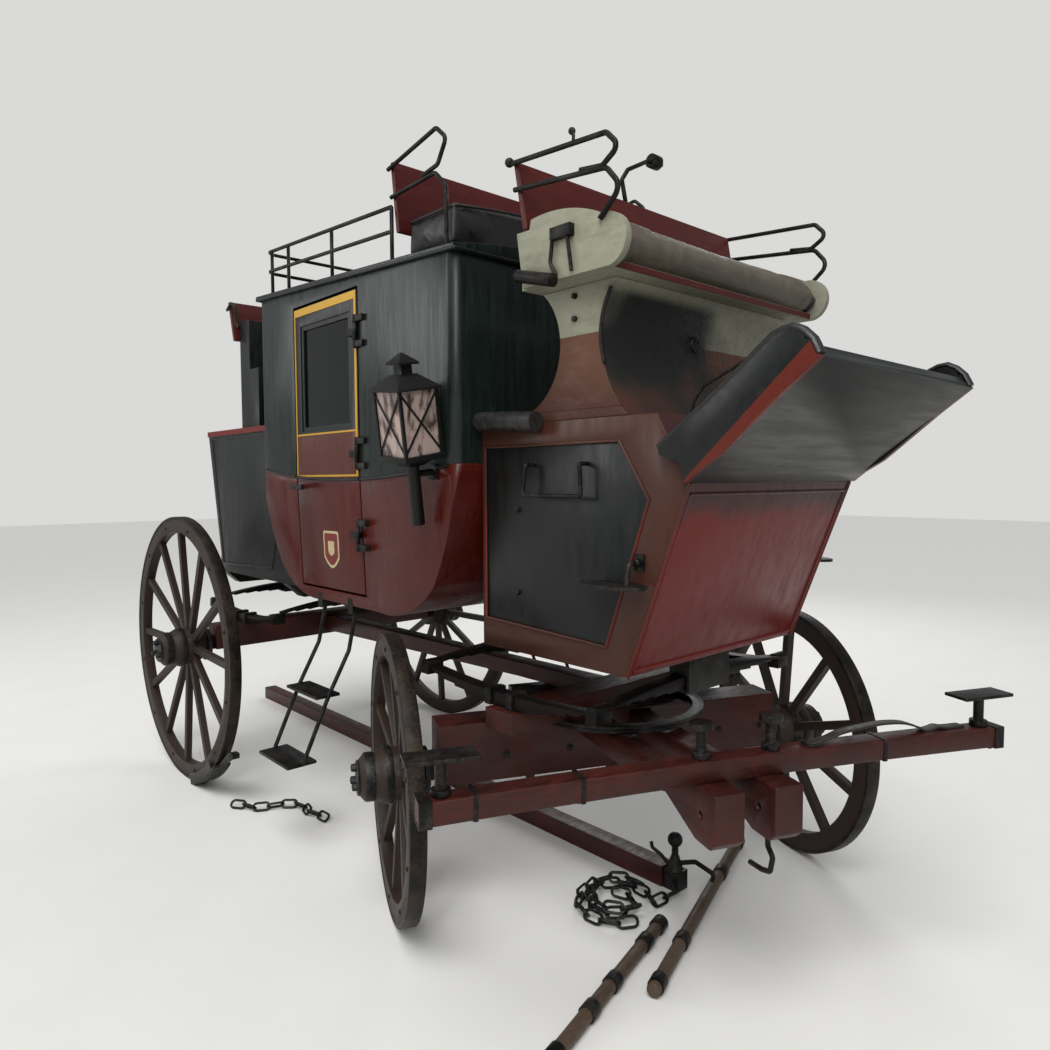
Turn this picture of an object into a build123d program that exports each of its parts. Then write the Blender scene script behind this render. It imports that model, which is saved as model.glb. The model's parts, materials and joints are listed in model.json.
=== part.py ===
from build123d import *
import math
import os

# Stagecoach of the mail type, in millimetres.
# +X is forward, +Y is left, +Z is up. It is modelled with the kingpin at X 0, Y 0 and the floor at
# Z 0, and moved at the end so that the origin is the middle of its footprint.

# Wheels and axles
REAR_WHEEL_D = 1400
FRONT_WHEEL_D = 1025
WHEEL_FACE = 880          # from the middle line to the outer face of a tyre
TYRE_W = 55
TYRE_T = 14
FELLOE_W = 50
FELLOE_DEPTH = 66
SPOKE_W = 34
SPOKE_T = 30
DISH = 26                 # how far the spokes lean out from the nave to the rim
NAVE_R = 98
NAVE_IN = 100             # from the rim's middle plane to the nave's inner end
NAVE_OUT = 132            # and to its nose
NOSE_BOLTS = 3
ARM_R = 30                # the round arm of an axle, in its nave
COLLAR_R = 88             # the plate that closes a nave's inner end
COLLAR_T = 18
ARM_REACH = 84            # how far the arm goes past the rim's middle plane
RUNNING_GAP = 0.3         # between an arm and its nave, and a pin and its hole
FIT = 0.3                 # between pieces that seat on each other
WHEELBASE = 2302
FRONT_AXLE_BACK = 45      # the front axle lies this far behind the kingpin
AXLE_BAR = 62             # the square bar between the arms
TURNED = -24.57           # the fore-carriage stands turned to the right
LOCK = 25                 # full lock each way, when a wheel nears the side spring

# Body
BODY_HALF = 610
BODY_UNDER_HALF = BODY_HALF - 22  # at the bottom, where the sides turn under
CUTTER = 2 * BODY_HALF    # reaches past everything across the coach
BODY_FRONT = -200
BODY_REAR = -1805
BODY_BOTTOM = 1045
ROOF_EDGE_FRONT = 2390
ROOF_EDGE_REAR = 2482
BELT_END = 1656
BELT_MIDDLE = 1592
TURN_UNDER_TOP = 1580     # below this the sides lean in
WALL = 28
BODY_CORNER = 46
ROOF_EDGE_T = 22
ABOVE = ROOF_EDGE_REAR + 200      # over the body's walls
ROOF_CROWN = 52
FLOOR_T = 24

# Doors
DOOR_REAR = -1420
DOOR_FRONT = -860
DOOR_SILL = 1106
DOOR_TOP = 2376
DOOR_GAP = 10
WINDOW_SILL = 1812
WINDOW_HEAD = DOOR_TOP - 84
WINDOW_SIDE = 58
GLASS_T = 5
HINGE_R = 9
HINGE_PIN_R = 4.5
PIN_GAP = 0.05            # between a hinge pin and its knuckle

# Front boot and driver's seat
BOOT_HALF = 488
BOOT_BOTTOM = 985
BOOT_TOP = 1780
BOOT_FOOT = 485           # foot of the sloping front
BOOT_KNEE = (709, 1577)   # head of the sloping front
BOOT_WALL = 24
RECESS = 10
SEAT_Z = 2196
SEAT_HALF = 592
BOARD_T = 24
FOOTBOARD_HEAD = (1096, 1878)
WING_T = 26

# Hind boot
HIND_REAR_TOP = (-2856, 1884)
HIND_REAR_FOOT = (-2690, 1094)
HIND_BOTTOM = 1050
HIND_HALF = 488

# Carriage under the body
TRANSOM_TOP = 800
TRANSOM_T = 72
PLATE_T = 12              # each wheel plate
PLATE_GAP = 1.0
PLATE_R = 330
PLATE_W = 44
BED_TOP = 700
LEAF_T = 8
LEAF_W = 56
SPRING_SIDE = 530         # from the middle line to a side spring


def box(x, y, z):
    """A block between two values on each axis."""
    size = [high - low for low, high in (x, y, z)]
    middle = [(high + low) / 2 for low, high in (x, y, z)]
    return Pos(*middle) * Box(*size)


def face(start, *legs):
    """A closed face: a leg is the end of a line, or a point on an arc and the arc's end."""
    edges, here = [], start
    for leg in legs:
        bent = isinstance(leg[0], tuple)
        end = leg[1] if bent else leg
        edges.append(ThreePointArc(here, leg[0], end) if bent else Line(here, end))
        here = end
    if here != start:
        edges.append(Line(here, start))
    return make_face(edges)


def side(shape, low, high):
    """A face drawn in the side view (x, z), carried from y low to y high."""
    return extrude(Plane.XZ.offset(-high) * shape, amount=high - low)


def across(shape, low, high):
    """A face drawn from behind (y, z), carried from x low to x high."""
    return extrude(Plane.YZ.offset(low) * shape, amount=high - low)


def flat(shape, low, high):
    """A face drawn from above (x, y), carried from z low to z high."""
    return extrude(Plane.XY.offset(low) * shape, amount=high - low)


def upright(x, y, low, high, radius):
    """A vertical round pin."""
    return Pos(x, y, (low + high) / 2) * Cylinder(radius, high - low)


def crossbar(x, z, low, high, radius):
    """A round bar along Y."""
    return Pos(x, (low + high) / 2, z) * Rot(90, 0, 0) * Cylinder(radius, high - low)


def rod(points, radius, bend):
    """A round iron along straight runs joined by arcs."""
    path = FilletPolyline(*points, radius=bend) if len(points) > 2 else Line(*points)
    start = Plane(origin=path @ 0, z_dir=path % 0)
    return sweep(start * Circle(radius), path=path)


def mirrored(shape):
    """The same piece on the other side of the coach."""
    return mirror(shape, about=Plane.XZ)


def both(shape):
    """A piece with its twin on the other side."""
    return shape + mirrored(shape)


nodes = {}


# Wheels: felloes, spokes and nave are one, and the iron tyre is shrunk on them.
def wheel(diameter, spokes):
    """Wood and tyre of a wheel about the Y axis, with its outer side towards +Y."""
    rim_r = diameter / 2 - TYRE_T
    tyre = Rot(90, 0, 0) * (Cylinder(diameter / 2, TYRE_W) - Cylinder(rim_r, TYRE_W))
    wood = Rot(90, 0, 0) * (Cylinder(rim_r - FIT, FELLOE_W)
                            - Cylinder(rim_r - FELLOE_DEPTH, FELLOE_W))
    nave = face((0, -NAVE_IN), (0.72 * NAVE_R, -NAVE_IN), (NAVE_R, -0.42 * NAVE_IN),
                (NAVE_R, 0.32 * NAVE_OUT), (0.86 * NAVE_R, 0.55 * NAVE_OUT),
                (0.86 * NAVE_R, 0.84 * NAVE_OUT), (0.6 * NAVE_R, NAVE_OUT), (0, NAVE_OUT))
    wood += revolve(nave, axis=Axis.Y)
    foot_r = 0.8 * NAVE_R
    run = rim_r - 0.8 * FELLOE_DEPTH - foot_r
    lean = math.degrees(math.atan2(DISH, run))
    shaft = Pos(0, 0, run / 2) * Box(SPOKE_W, SPOKE_T, run / math.cos(math.radians(lean)))
    spoke = Pos(0, -DISH, foot_r) * Rot(-lean, 0, 0) * shaft
    for number in range(spokes):
        wood += Rot(0, 360 * number / spokes, 0) * spoke
    for number in range(NOSE_BOLTS):
        wood += (Rot(0, 360 * number / NOSE_BOLTS, 0) * Pos(0, NAVE_OUT + 4, 0.4 * NAVE_R)
                 * Rot(90, 0, 0) * Cylinder(11, 20))
    arm_end = ARM_REACH + 3
    wood -= crossbar(0, 0, -NAVE_IN, arm_end, ARM_R + RUNNING_GAP)
    return wood, tyre


def seat_wheel(shape, x, z, sign):
    """Puts a wheel on its arm: sign is 1 on the left and -1 on the right."""
    turned_out = shape if sign > 0 else mirrored(shape)
    return Pos(x, sign * (WHEEL_FACE - TYRE_W / 2), z) * turned_out


def axle(x, z):
    """Square bar with a round arm at each end."""
    inner = WHEEL_FACE - TYRE_W / 2 - NAVE_IN - 8
    bar = box((x - AXLE_BAR / 2, x + AXLE_BAR / 2), (-inner, inner),
              (z - AXLE_BAR / 2, z + AXLE_BAR / 2))
    reach = WHEEL_FACE - TYRE_W / 2 + ARM_REACH
    bar += crossbar(x, z, -reach, reach, ARM_R)
    return bar + both(crossbar(x, z, inner + 6 - COLLAR_T, inner + 6, COLLAR_R))


def turn(shape):
    """The fore-carriage is drawn straight and turned about the kingpin."""
    return Rot(0, 0, TURNED) * shape


wheel_table = (
    # name, diameter, spokes, axle's x, side
    ("front_right", FRONT_WHEEL_D, 10, -FRONT_AXLE_BACK, -1),
    ("front_left", FRONT_WHEEL_D, 10, -FRONT_AXLE_BACK, 1),
    ("rear_right", REAR_WHEEL_D, 12, -WHEELBASE, -1),
    ("rear_left", REAR_WHEEL_D, 12, -WHEELBASE, 1),
)
for name, diameter, spokes, axle_x, sign in wheel_table:
    for kind, shape in zip(("wheel", "tyre"), wheel(diameter, spokes)):
        placed = seat_wheel(shape, axle_x, diameter / 2, sign)
        nodes[f"{kind}_{name}"] = turn(placed) if axle_x > -WHEELBASE else placed

# Hind axle in its wooden bed
bed_end = WHEEL_FACE - TYRE_W / 2 - NAVE_IN - 50
nodes["hind_axle"] = axle(-WHEELBASE, REAR_WHEEL_D / 2)
hind_bed_top = REAR_WHEEL_D / 2 + 100
axle_slot = AXLE_BAR + 2 * FIT


def bed(x, half, z_low, z_high, axle_x, axle_z):
    """Wooden bed with the axle let in from below."""
    block = box((x - half, x + half), (-bed_end, bed_end), (z_low, z_high))
    slot = box((axle_x - axle_slot / 2, axle_x + axle_slot / 2), (-bed_end - 1, bed_end + 1),
               (z_low - 1, axle_z + axle_slot / 2))
    return block - slot


nodes["hind_bed"] = bed(-WHEELBASE, 60, REAR_WHEEL_D / 2 - AXLE_BAR / 2, hind_bed_top,
                        -WHEELBASE, REAR_WHEEL_D / 2)

# Fore-carriage: axle, bed, wheel plate, futchells and splinter bar turn together
front_z = FRONT_WHEEL_D / 2
PIN_R = 13
bed_bolt = (upright(30, -352, front_z - 86, front_z - AXLE_BAR / 2 - FIT, 10)
            + upright(30, -352, front_z - 58, front_z - AXLE_BAR / 2 - FIT, 17))
nodes["front_axle"] = turn(axle(-FRONT_AXLE_BACK, front_z) + both(bed_bolt))
bed_half = 74
front_bed = bed(-FRONT_AXLE_BACK + 26, bed_half, front_z - AXLE_BAR / 2, BED_TOP,
                -FRONT_AXLE_BACK, front_z)
front_bed -= upright(0, 0, 0, BED_TOP + 1, PIN_R + RUNNING_GAP)

FUTCHELL_Y = 48           # inner face
FUTCHELL_W = 92
BAR_LOW = 737
BAR_HIGH = 800
BAR_BACK = 830
BAR_T = 70
BAR_BOW = 30
BAR_HALF = 930
NOSE = 985
FUTCHELL_LOW = 574        # under the jaws
futchell = side(face((-430, 618), (-430, 668), (-370, 668), (-300, 680), (560, 690), (760, BAR_LOW),
                     (NOSE, BAR_LOW), (NOSE, 600), (NOSE - 30, FUTCHELL_LOW),
                     (NOSE - 110, FUTCHELL_LOW),
                     (700, 640), (560, 606), (-300, 606)),
                FUTCHELL_Y, FUTCHELL_Y + FUTCHELL_W)
POLE_PIN_X, POLE_PIN_Z, POLE_PIN_R = 905, 655, 11
futchell -= crossbar(POLE_PIN_X, POLE_PIN_Z, 0, 400, POLE_PIN_R)
futchells = both(futchell)
sway_bar = box((-430, -380), (-300, 300), (668 + FIT, BED_TOP))
front_bed -= both(box((-200, 200), (FUTCHELL_Y - FIT, FUTCHELL_Y + FUTCHELL_W + FIT),
                      (606 - FIT, 690 + FIT)))
nodes["axle_bed"] = turn(front_bed)
nodes["futchells"] = turn(futchells)

ring = Cylinder(PLATE_R + PLATE_W / 2, PLATE_T) - Cylinder(PLATE_R - PLATE_W / 2, PLATE_T)
plate_low = BED_TOP + PLATE_T / 2
lower_plate = Pos(0, 0, plate_low) * ring
nodes["lower_wheel_plate"] = turn(lower_plate + sway_bar)

bar_plan = face((BAR_BACK + BAR_BOW, -BAR_HALF), ((BAR_BACK, 0), (BAR_BACK + BAR_BOW, BAR_HALF)),
                (BAR_BACK + BAR_BOW + BAR_T, BAR_HALF),
                ((BAR_BACK + BAR_T, 0), (BAR_BACK + BAR_BOW + BAR_T, -BAR_HALF)))
nodes["splinter_bar"] = turn(flat(bar_plan, BAR_LOW, BAR_HIGH))

BOLT_R = 15
bollards, bollard_feet = [], []
for place, y, foot_x in (("outer", BAR_HALF - 62, BAR_BACK + BAR_BOW + BAR_T / 2 - 4),
                         ("inner", 115, BAR_BACK + BAR_T / 2)):
    for hand, sign in (("right", -1), ("left", 1)):
        bollard_feet.append((f"{place}_{hand}", foot_x, sign * y))
        post = upright(foot_x, sign * y, BAR_HIGH, BAR_HIGH + 96, BOLT_R)
        post += upright(foot_x, sign * y, BAR_HIGH, BAR_HIGH + 20, 26)
        if place == "outer":
            post += box((foot_x - 42, foot_x + 42), (sign * y - 95, sign * y + 95),
                        (BAR_HIGH + 96, BAR_HIGH + 106))
        else:
            post += upright(foot_x, sign * y, BAR_HIGH + 84, BAR_HIGH + 104, 34)
        bollards.append(post)
hook_y = FUTCHELL_Y + FUTCHELL_W / 2
bollards.append(rod([(886, hook_y, FUTCHELL_LOW - FIT), (888, hook_y, 522), (912, hook_y, 500),
                     (900, hook_y, 452), (862, hook_y, 440), (800, hook_y, 434)], 8, 14))
nodes["splinter_bar_irons"] = turn(Compound([s for b in bollards for s in b.solids()]))

# A trace left lying on the bar, arched in the middle
STRAP_W, STRAP_T = 34, 5


def strap_line(lift):
    """The strap's run seen from the front (y, z), at a height over the bar."""
    z = BAR_HIGH + FIT + lift
    return Polyline((235, z), (300, z + 12), (350, z + 26), (425, z + 34), (500, z + 38), (575, z + 32),
                    (632, z + 14), (662, z), (690, z + 3), (712, z + 7), (745, z + 1), (812, z))


low_line, high_line = strap_line(0), strap_line(STRAP_T)
strap_face = make_face([*low_line.edges(), Line(low_line @ 1, high_line @ 1), *high_line.edges(),
                        Line(high_line @ 0, low_line @ 0)])
nodes["trace_strap"] = turn(across(strap_face, BAR_BACK + 28, BAR_BACK + 28 + STRAP_W))

# Upper carriage, fixed to the perch
upper_z = BED_TOP + PLATE_T + PLATE_GAP
transom_low = upper_z + PLATE_T
nodes["transom"] = box((-70, 70), (-590, 590), (transom_low, TRANSOM_TOP))
kingpin = (upright(0, 0, front_z - 60, transom_low, PIN_R)
           + upright(0, 0, front_z - 60, front_z - AXLE_BAR / 2 - 1, PIN_R + 14))
nodes["upper_plate_and_kingpin"] = Pos(0, 0, upper_z + PLATE_T / 2) * ring + kingpin

perch_half = 44
perch_side = face((-70, transom_low + 4), (-70, TRANSOM_TOP - 4), (-500, TRANSOM_TOP - 4),
                  (-WHEELBASE + 60, 780), (-WHEELBASE + 60, 690), (-500, transom_low + 4))
nodes["perch"] = side(perch_side, -perch_half, perch_half)


# Springs: bundles of leaves under their longest one
def leaves(half, rise, count, arched):
    """A bundle in the (x, z) plane, its top at Z 0 in the middle and its ends up or, arched, down."""
    radius = (half * half + rise * rise) / (2 * rise)
    sign = -1 if arched else 1
    bundle = None
    for number in range(count):
        angle = half * (1 - number / (count + 1)) / radius
        upper = radius - sign * -LEAF_T * number if not arched else radius - LEAF_T * number
        lower = upper + LEAF_T if not arched else upper - LEAF_T

        def at(r, a):
            return (r * math.sin(a), sign * (radius - r * math.cos(a)))
        leaf = face(at(upper, -angle), (at(upper, 0), at(upper, angle)), at(lower, angle),
                    (at(lower, 0), at(lower, -angle)))
        leaf = side(leaf, -LEAF_W / 2, LEAF_W / 2)
        bundle = leaf if bundle is None else bundle + leaf
    return bundle


LEAF_COUNT = 6
BUNDLE = LEAF_T * LEAF_COUNT
CLAMP_HALF = 120          # along the cross spring
CLAMP_WALL = 14


def spring_set(middle_x, seat_z, half, rise, cross_top, drop, carried):
    """Side springs with ends up, cross springs shackled to them, and the blocks that carry a body."""
    side_spring = leaves(half, rise, LEAF_COUNT, False)
    whole = None
    for sign in (-1, 1):
        placed = Pos(middle_x, sign * SPRING_SIDE, seat_z + BUNDLE) * side_spring
        whole = placed if whole is None else whole + placed
    cross_half = SPRING_SIDE - LEAF_W / 2 + 8
    cross = Rot(0, 0, 90) * leaves(cross_half, drop, LEAF_COUNT, True)
    end_z = seat_z + BUNDLE + rise
    blocks = None
    for end, foot in zip((-1, 1), carried):
        cross_x = middle_x + end * (half - 12)
        whole += Pos(cross_x, 0, cross_top) * cross
        for sign in (-1, 1):
            cap = face((cross_x - 24, end_z - 34), (cross_x + 24, end_z - 34), (cross_x + 24, end_z - 2),
                       ((cross_x, end_z + 22), (cross_x - 24, end_z - 2)))
            whole += side(cap, sign * SPRING_SIDE - LEAF_W / 2 - 8, sign * SPRING_SIDE + LEAF_W / 2 + 8)
        low = cross_top - BUNDLE
        block = box((cross_x - LEAF_W / 2 - CLAMP_WALL, cross_x + LEAF_W / 2 + CLAMP_WALL),
                    (-CLAMP_HALF, CLAMP_HALF), (low - CLAMP_WALL, foot))
        block -= box((cross_x - LEAF_W / 2 - FIT, cross_x + LEAF_W / 2 + FIT),
                     (-CLAMP_HALF - 1, CLAMP_HALF + 1), (low - 3, cross_top + FIT))
        blocks = block if blocks is None else blocks + block
    return whole, blocks


front_springs, front_blocks = spring_set(-30, TRANSOM_TOP, 450, 24, 918, 34, (1120, BOOT_BOTTOM - FIT))
hind_springs, hind_blocks = spring_set(-2262, hind_bed_top, 420, 26, 950, 50, (975, 975))

# Body: side view and cross section carried through each other, then hollowed
slope = (ROOF_EDGE_REAR - ROOF_EDGE_FRONT) / (BODY_FRONT - BODY_REAR)


def body_form(inset):
    """The body's outline, or its inside at a wall's thickness."""
    i = inset
    top_front, top_rear = ROOF_EDGE_FRONT, ROOF_EDGE_REAR
    view = face((BODY_FRONT - i, top_front), (BODY_FRONT - i, BELT_END),
                ((BODY_FRONT - 58 - i, 1400), (BODY_FRONT - 165 - i, 1185)),
                ((BODY_FRONT - 310 - 0.6 * i, 1082 + 0.8 * i), (BODY_FRONT - 560, BODY_BOTTOM + i)),
                (BODY_REAR + 560, BODY_BOTTOM + i),
                ((BODY_REAR + 310 + 0.6 * i, 1082 + 0.8 * i), (BODY_REAR + 165 + i, 1185)),
                ((BODY_REAR + 58 + i, 1400), (BODY_REAR + i, BELT_END)),
                (BODY_REAR + i, top_rear))
    section = face((-BODY_HALF + i, ABOVE), (-BODY_HALF + i, TURN_UNDER_TOP),
                   (-BODY_UNDER_HALF + i, BODY_BOTTOM - 10), (BODY_UNDER_HALF - i, BODY_BOTTOM - 10),
                   (BODY_HALF - i, TURN_UNDER_TOP), (BODY_HALF - i, ABOVE))
    form = side(view, -CUTTER, CUTTER) & across(section, BODY_REAR - 10, BODY_FRONT + 10)
    if i >= WALL:
        return form
    plan = Pos((BODY_FRONT + BODY_REAR) / 2, 0) * RectangleRounded(
        BODY_FRONT - BODY_REAR - 2 * i, 2 * (BODY_HALF - i), BODY_CORNER - i)
    return form & flat(plan, BODY_BOTTOM - 100, ABOVE)


outer_form = body_form(0)
shell = outer_form - body_form(WALL)
below_belt = side(face((BODY_REAR - 50, 900), (BODY_REAR - 50, BELT_END),
                       (((BODY_FRONT + BODY_REAR) / 2, BELT_MIDDLE), (BODY_FRONT + 50, BELT_END)),
                       (BODY_FRONT + 50, 900)), -CUTTER, CUTTER)


def doorway(grow, low=DOOR_SILL, high=DOOR_TOP):
    """Block that cuts the doorways through both sides, or one door out of the wall."""
    return box((DOOR_REAR - grow, DOOR_FRONT + grow), (BODY_HALF / 2, CUTTER), (low - grow, high + grow))


opened = shell - both(doorway(DOOR_GAP))
nodes["body_lower"] = opened & below_belt
nodes["body_upper"] = opened - below_belt
floor_z = BODY_BOTTOM + WALL
nodes["body_floor"] = (body_form(WALL + FIT)
                       & box((BODY_REAR, BODY_FRONT), (-CUTTER, CUTTER), (floor_z, floor_z + FLOOR_T)))

# Roof: a cambered lid on the sloping edge, hollow under its crown
roof_half = BODY_HALF + 10
roof_run = (BODY_FRONT - BODY_REAR) / 2 + 12


def roof_section(half, low, crown):
    """Flat below, arched above."""
    return face((-half, 0), (-half, low), ((0, low + crown), (half, low)), (half, 0))


lid = across(roof_section(roof_half, ROOF_EDGE_T, ROOF_CROWN), -roof_run, roof_run)
lid -= across(roof_section(roof_half - 60, 4, ROOF_CROWN - 8), -roof_run + 60, roof_run - 60)
roof_tilt = math.degrees(math.atan(slope))
roof_place = Pos((BODY_FRONT + BODY_REAR) / 2, 0, (ROOF_EDGE_FRONT + ROOF_EDGE_REAR) / 2) * Rot(
    0, roof_tilt, 0)
nodes["roof"] = roof_place * lid


def roof_z(x, y=0):
    """Height of the roof's top over a point of the plan."""
    edge = ROOF_EDGE_FRONT + slope * (BODY_FRONT - x) + ROOF_EDGE_T
    radius = (roof_half ** 2 + ROOF_CROWN ** 2) / (2 * ROOF_CROWN)
    return edge + math.sqrt(radius ** 2 - y ** 2) - (radius - ROOF_CROWN)


# Doors: a lower panel, an upper frame round the window, glass and irons
hinge_x, hinge_y = DOOR_FRONT + 3, -(BODY_HALF + HINGE_R + 3)
door_solid = shell & doorway(0)
door_solid = mirrored(door_solid)
window = box((DOOR_REAR + WINDOW_SIDE, DOOR_FRONT - WINDOW_SIDE), (-CUTTER, CUTTER),
             (WINDOW_SILL, WINDOW_HEAD))
door_lower = door_solid & below_belt
door_upper = door_solid - below_belt - window
glass = box((DOOR_REAR + WINDOW_SIDE + FIT, DOOR_FRONT - WINDOW_SIDE - FIT),
            (-BODY_HALF + WALL / 2, -BODY_HALF + WALL / 2 + GLASS_T),
            (WINDOW_SILL + FIT, WINDOW_HEAD - FIT))
irons = hinges = None
knuckle_half, strap_half, strap_run = 34, 14, 60
for z in (1360, 1700, 2200):
    knuckle = upright(hinge_x, hinge_y, z - knuckle_half, z + knuckle_half, HINGE_R)
    strap = box((hinge_x - strap_run, hinge_x), (hinge_y - 3, -BODY_UNDER_HALF),
                (z - strap_half, z + strap_half))
    moving = knuckle + strap - upright(hinge_x, hinge_y, z - 99, z + 99, HINGE_PIN_R + PIN_GAP)
    irons = moving if irons is None else irons + moving
    fixed = upright(hinge_x, hinge_y, z - 2 * knuckle_half, z + 2 * knuckle_half, HINGE_PIN_R)
    for end in (-1, 1):
        near, far = z + end * (knuckle_half + 1), z + end * 2 * knuckle_half
        low, high = min(near, far), max(near, far)
        fixed += upright(hinge_x, hinge_y, low, high, HINGE_R)
        fixed += box((hinge_x, hinge_x + strap_run), (hinge_y - 3, -BODY_UNDER_HALF),
                     (low + 4, high - 4))
    hinges = fixed if hinges is None else hinges + fixed
door_hinges = both(hinges - outer_form)
handle_z = 1560
handle = (crossbar(DOOR_REAR + 50, handle_z, -BODY_HALF - 52, -BODY_HALF + 4, 11)
          + box((DOOR_REAR + 38, DOOR_REAR + 150), (-BODY_HALF - 58, -BODY_HALF - 44),
                (handle_z - 12, handle_z + 12)))
irons = (irons + handle) - outer_form
for name, change in (("right", lambda s: s), ("left", mirrored)):
    nodes[f"door_panel_{name}"] = change(door_lower)
    nodes[f"door_frame_{name}"] = change(door_upper)
    nodes[f"door_glass_{name}"] = change(glass)
    nodes[f"door_irons_{name}"] = change(irons)

# Benches inside
bench_z = floor_z + FLOOR_T
bench_half = BODY_HALF - WALL - 22
benches = None
for end in (-1, 1):
    middle = (BODY_FRONT + BODY_REAR) / 2
    wall_x = middle + end * ((BODY_FRONT - BODY_REAR) / 2 - WALL - 3)
    block = box(sorted((wall_x, wall_x - end * 430)), (-bench_half, bench_half), (1420, 1500))
    base = box(sorted((wall_x - end * 260, wall_x - end * 400)), (-bench_half + 60, bench_half - 60),
               (bench_z + FIT, 1420))
    back = box(sorted((wall_x, wall_x - end * 80)), (-bench_half, bench_half), (1500, 2080))
    block = (block + base + back) & body_form(WALL + 3)
    benches = block if benches is None else benches + block
nodes["inside_seats"] = benches

# Front boot
boot_gap = FIT
front_of_body = BODY_FRONT + boot_gap


def boot_view(i):
    """Side view of the front boot, or of its inside."""
    return face((front_of_body + i, BOOT_BOTTOM + i), (BOOT_FOOT - 0.8 * i, BOOT_BOTTOM + i),
                (BOOT_KNEE[0] - 1.07 * i, BOOT_KNEE[1] + 0.2 * i),
                (BOOT_KNEE[0] - 115 - i, BOOT_TOP - 0.6 * i), (BOOT_FOOT - i, BOOT_TOP + 2 * i),
                (front_of_body + i, BOOT_TOP + 2 * i))


boot = side(boot_view(0), -BOOT_HALF, BOOT_HALF)
boot -= side(boot_view(BOOT_WALL), -BOOT_HALF + BOOT_WALL, BOOT_HALF - BOOT_WALL)
panel = face((-180, 1087), (401, 1067), (567, 1528), (452, 1705), (-180, 1705))
recess = side(panel, -BOOT_HALF, -BOOT_HALF + RECESS)
boot -= both(recess)
boot_panel = offset(panel, amount=-FIT)
nodes["front_boot"] = boot
nodes["boot_panels"] = both(side(boot_panel, -BOOT_HALF + 4, -BOOT_HALF + RECESS))

# Riser under the driver's seat, waisted fore and aft
riser_view = face((-150, BOOT_TOP + FIT), (BOOT_FOOT, BOOT_TOP + FIT),
                  ((385, 2010), (440, SEAT_Z)), (120, SEAT_Z), ((200, 2000), (60, 1815)),
                  (-150, 1815))
riser_in = face((-120, BOOT_TOP), (BOOT_FOOT - 40, BOOT_TOP), ((352, 2010), (405, SEAT_Z + 1)),
                (155, SEAT_Z + 1), ((238, 1990), (70, 1792)), (-120, 1792))
riser = side(riser_view, -BOOT_HALF, BOOT_HALF)
riser -= side(riser_in, -BOOT_HALF + BOOT_WALL, BOOT_HALF - BOOT_WALL)
nodes["seat_riser"] = riser

# Driver's seat: board with raised rounded ends
seat_board = box((110, 500), (-SEAT_HALF + BOARD_T, SEAT_HALF - BOARD_T),
                 (SEAT_Z + FIT, SEAT_Z + BOARD_T))
end_view = face((112, 2372), (140, SEAT_Z), (506, SEAT_Z), ((566, 2262), (480, 2347)),
                ((300, 2402), (178, 2401)), (172, 2372))
end_board = side(end_view, -SEAT_HALF, -SEAT_HALF + BOARD_T)
nodes["driver_seat"] = seat_board + both(end_board)
cushion_half = SEAT_HALF - BOARD_T - 3
cushion_view = face((190, SEAT_Z + BOARD_T + FIT), (505, SEAT_Z + BOARD_T + FIT),
                    ((545, 2262), (470, 2332)), ((320, 2372), (190, 2372)))
nodes["driver_cushion"] = side(cushion_view, -cushion_half, cushion_half)
back_low, back_high = (146, 2378), (104, 2596)
back_view = face((back_low[0] - 6, back_low[1]), (back_low[0] + 14, back_low[1]),
                  (back_high[0] + 14, back_high[1]), (back_high[0] - 6, back_high[1]))
driver_back = side(back_view, -SEAT_HALF, SEAT_HALF)
rail_y = SEAT_HALF + 8 + FIT
seat_irons = []
for sign in (-1, 1):
    y = sign * rail_y
    high = rod([(88, y, 2594), (500, y, 2562), (548, y, 2512), (485, y, 2474), (400, y, 2486)], 8, 22)
    low = rod([(112, y, 2508), (500, y, 2466), (556, y, 2400), (476, y, 2330)], 8, 34)
    seat_irons += [high, low]

whip_x = back_high[0] + 4
whip = rod([(whip_x, -53, back_high[1] - 4), (whip_x, -76, 2672), (whip_x, -43, 2716), (whip_x, 66, 2774),
            (whip_x, 96, 2782)], 8, 12)
whip -= driver_back
whip += crossbar(whip_x, 2784, 90, 132, 26) + Pos(whip_x, 144, 2784) * Rot(-90, 0, 0) * Cone(24, 8, 26)
y = -rail_y
finial = upright(372, y, 2572, 2602, 5) + Pos(366, y, 2608) * Sphere(11)
finial += Pos(88, y, 2600) * Sphere(15)
side_y = -SEAT_HALF - 11
catch = box((284, 368), (side_y - 11, side_y + 11 - FIT), (2310, 2345))
catch += rod([(286, side_y, 2320), (275, side_y, 2246), (301, side_y, 2206)], 6, 20)
catch += rod([(348, side_y, 2312), (366, side_y, 2206)], 6, 20)
roller_run = 163
roller = Pos(219, -SEAT_HALF - 20 - FIT, 2210) * Rot(0, 104.9, 0) * Cylinder(20, roller_run)
seat_irons += [whip, finial, catch, roller]

# Footboard with its two wings
run = (FOOTBOARD_HEAD[0] - BOOT_KNEE[0], FOOTBOARD_HEAD[1] - BOOT_KNEE[1])
length = math.hypot(*run)
along = (run[0] / length, run[1] / length)
normal = (-along[1], along[0])


def foot_point(a, n):
    """A point of the side view, measured along the footboard and out of its upper face."""
    return (BOOT_KNEE[0] + 4 + a * along[0] + n * normal[0], BOOT_KNEE[1] + a * along[1]
            + n * normal[1])


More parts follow.
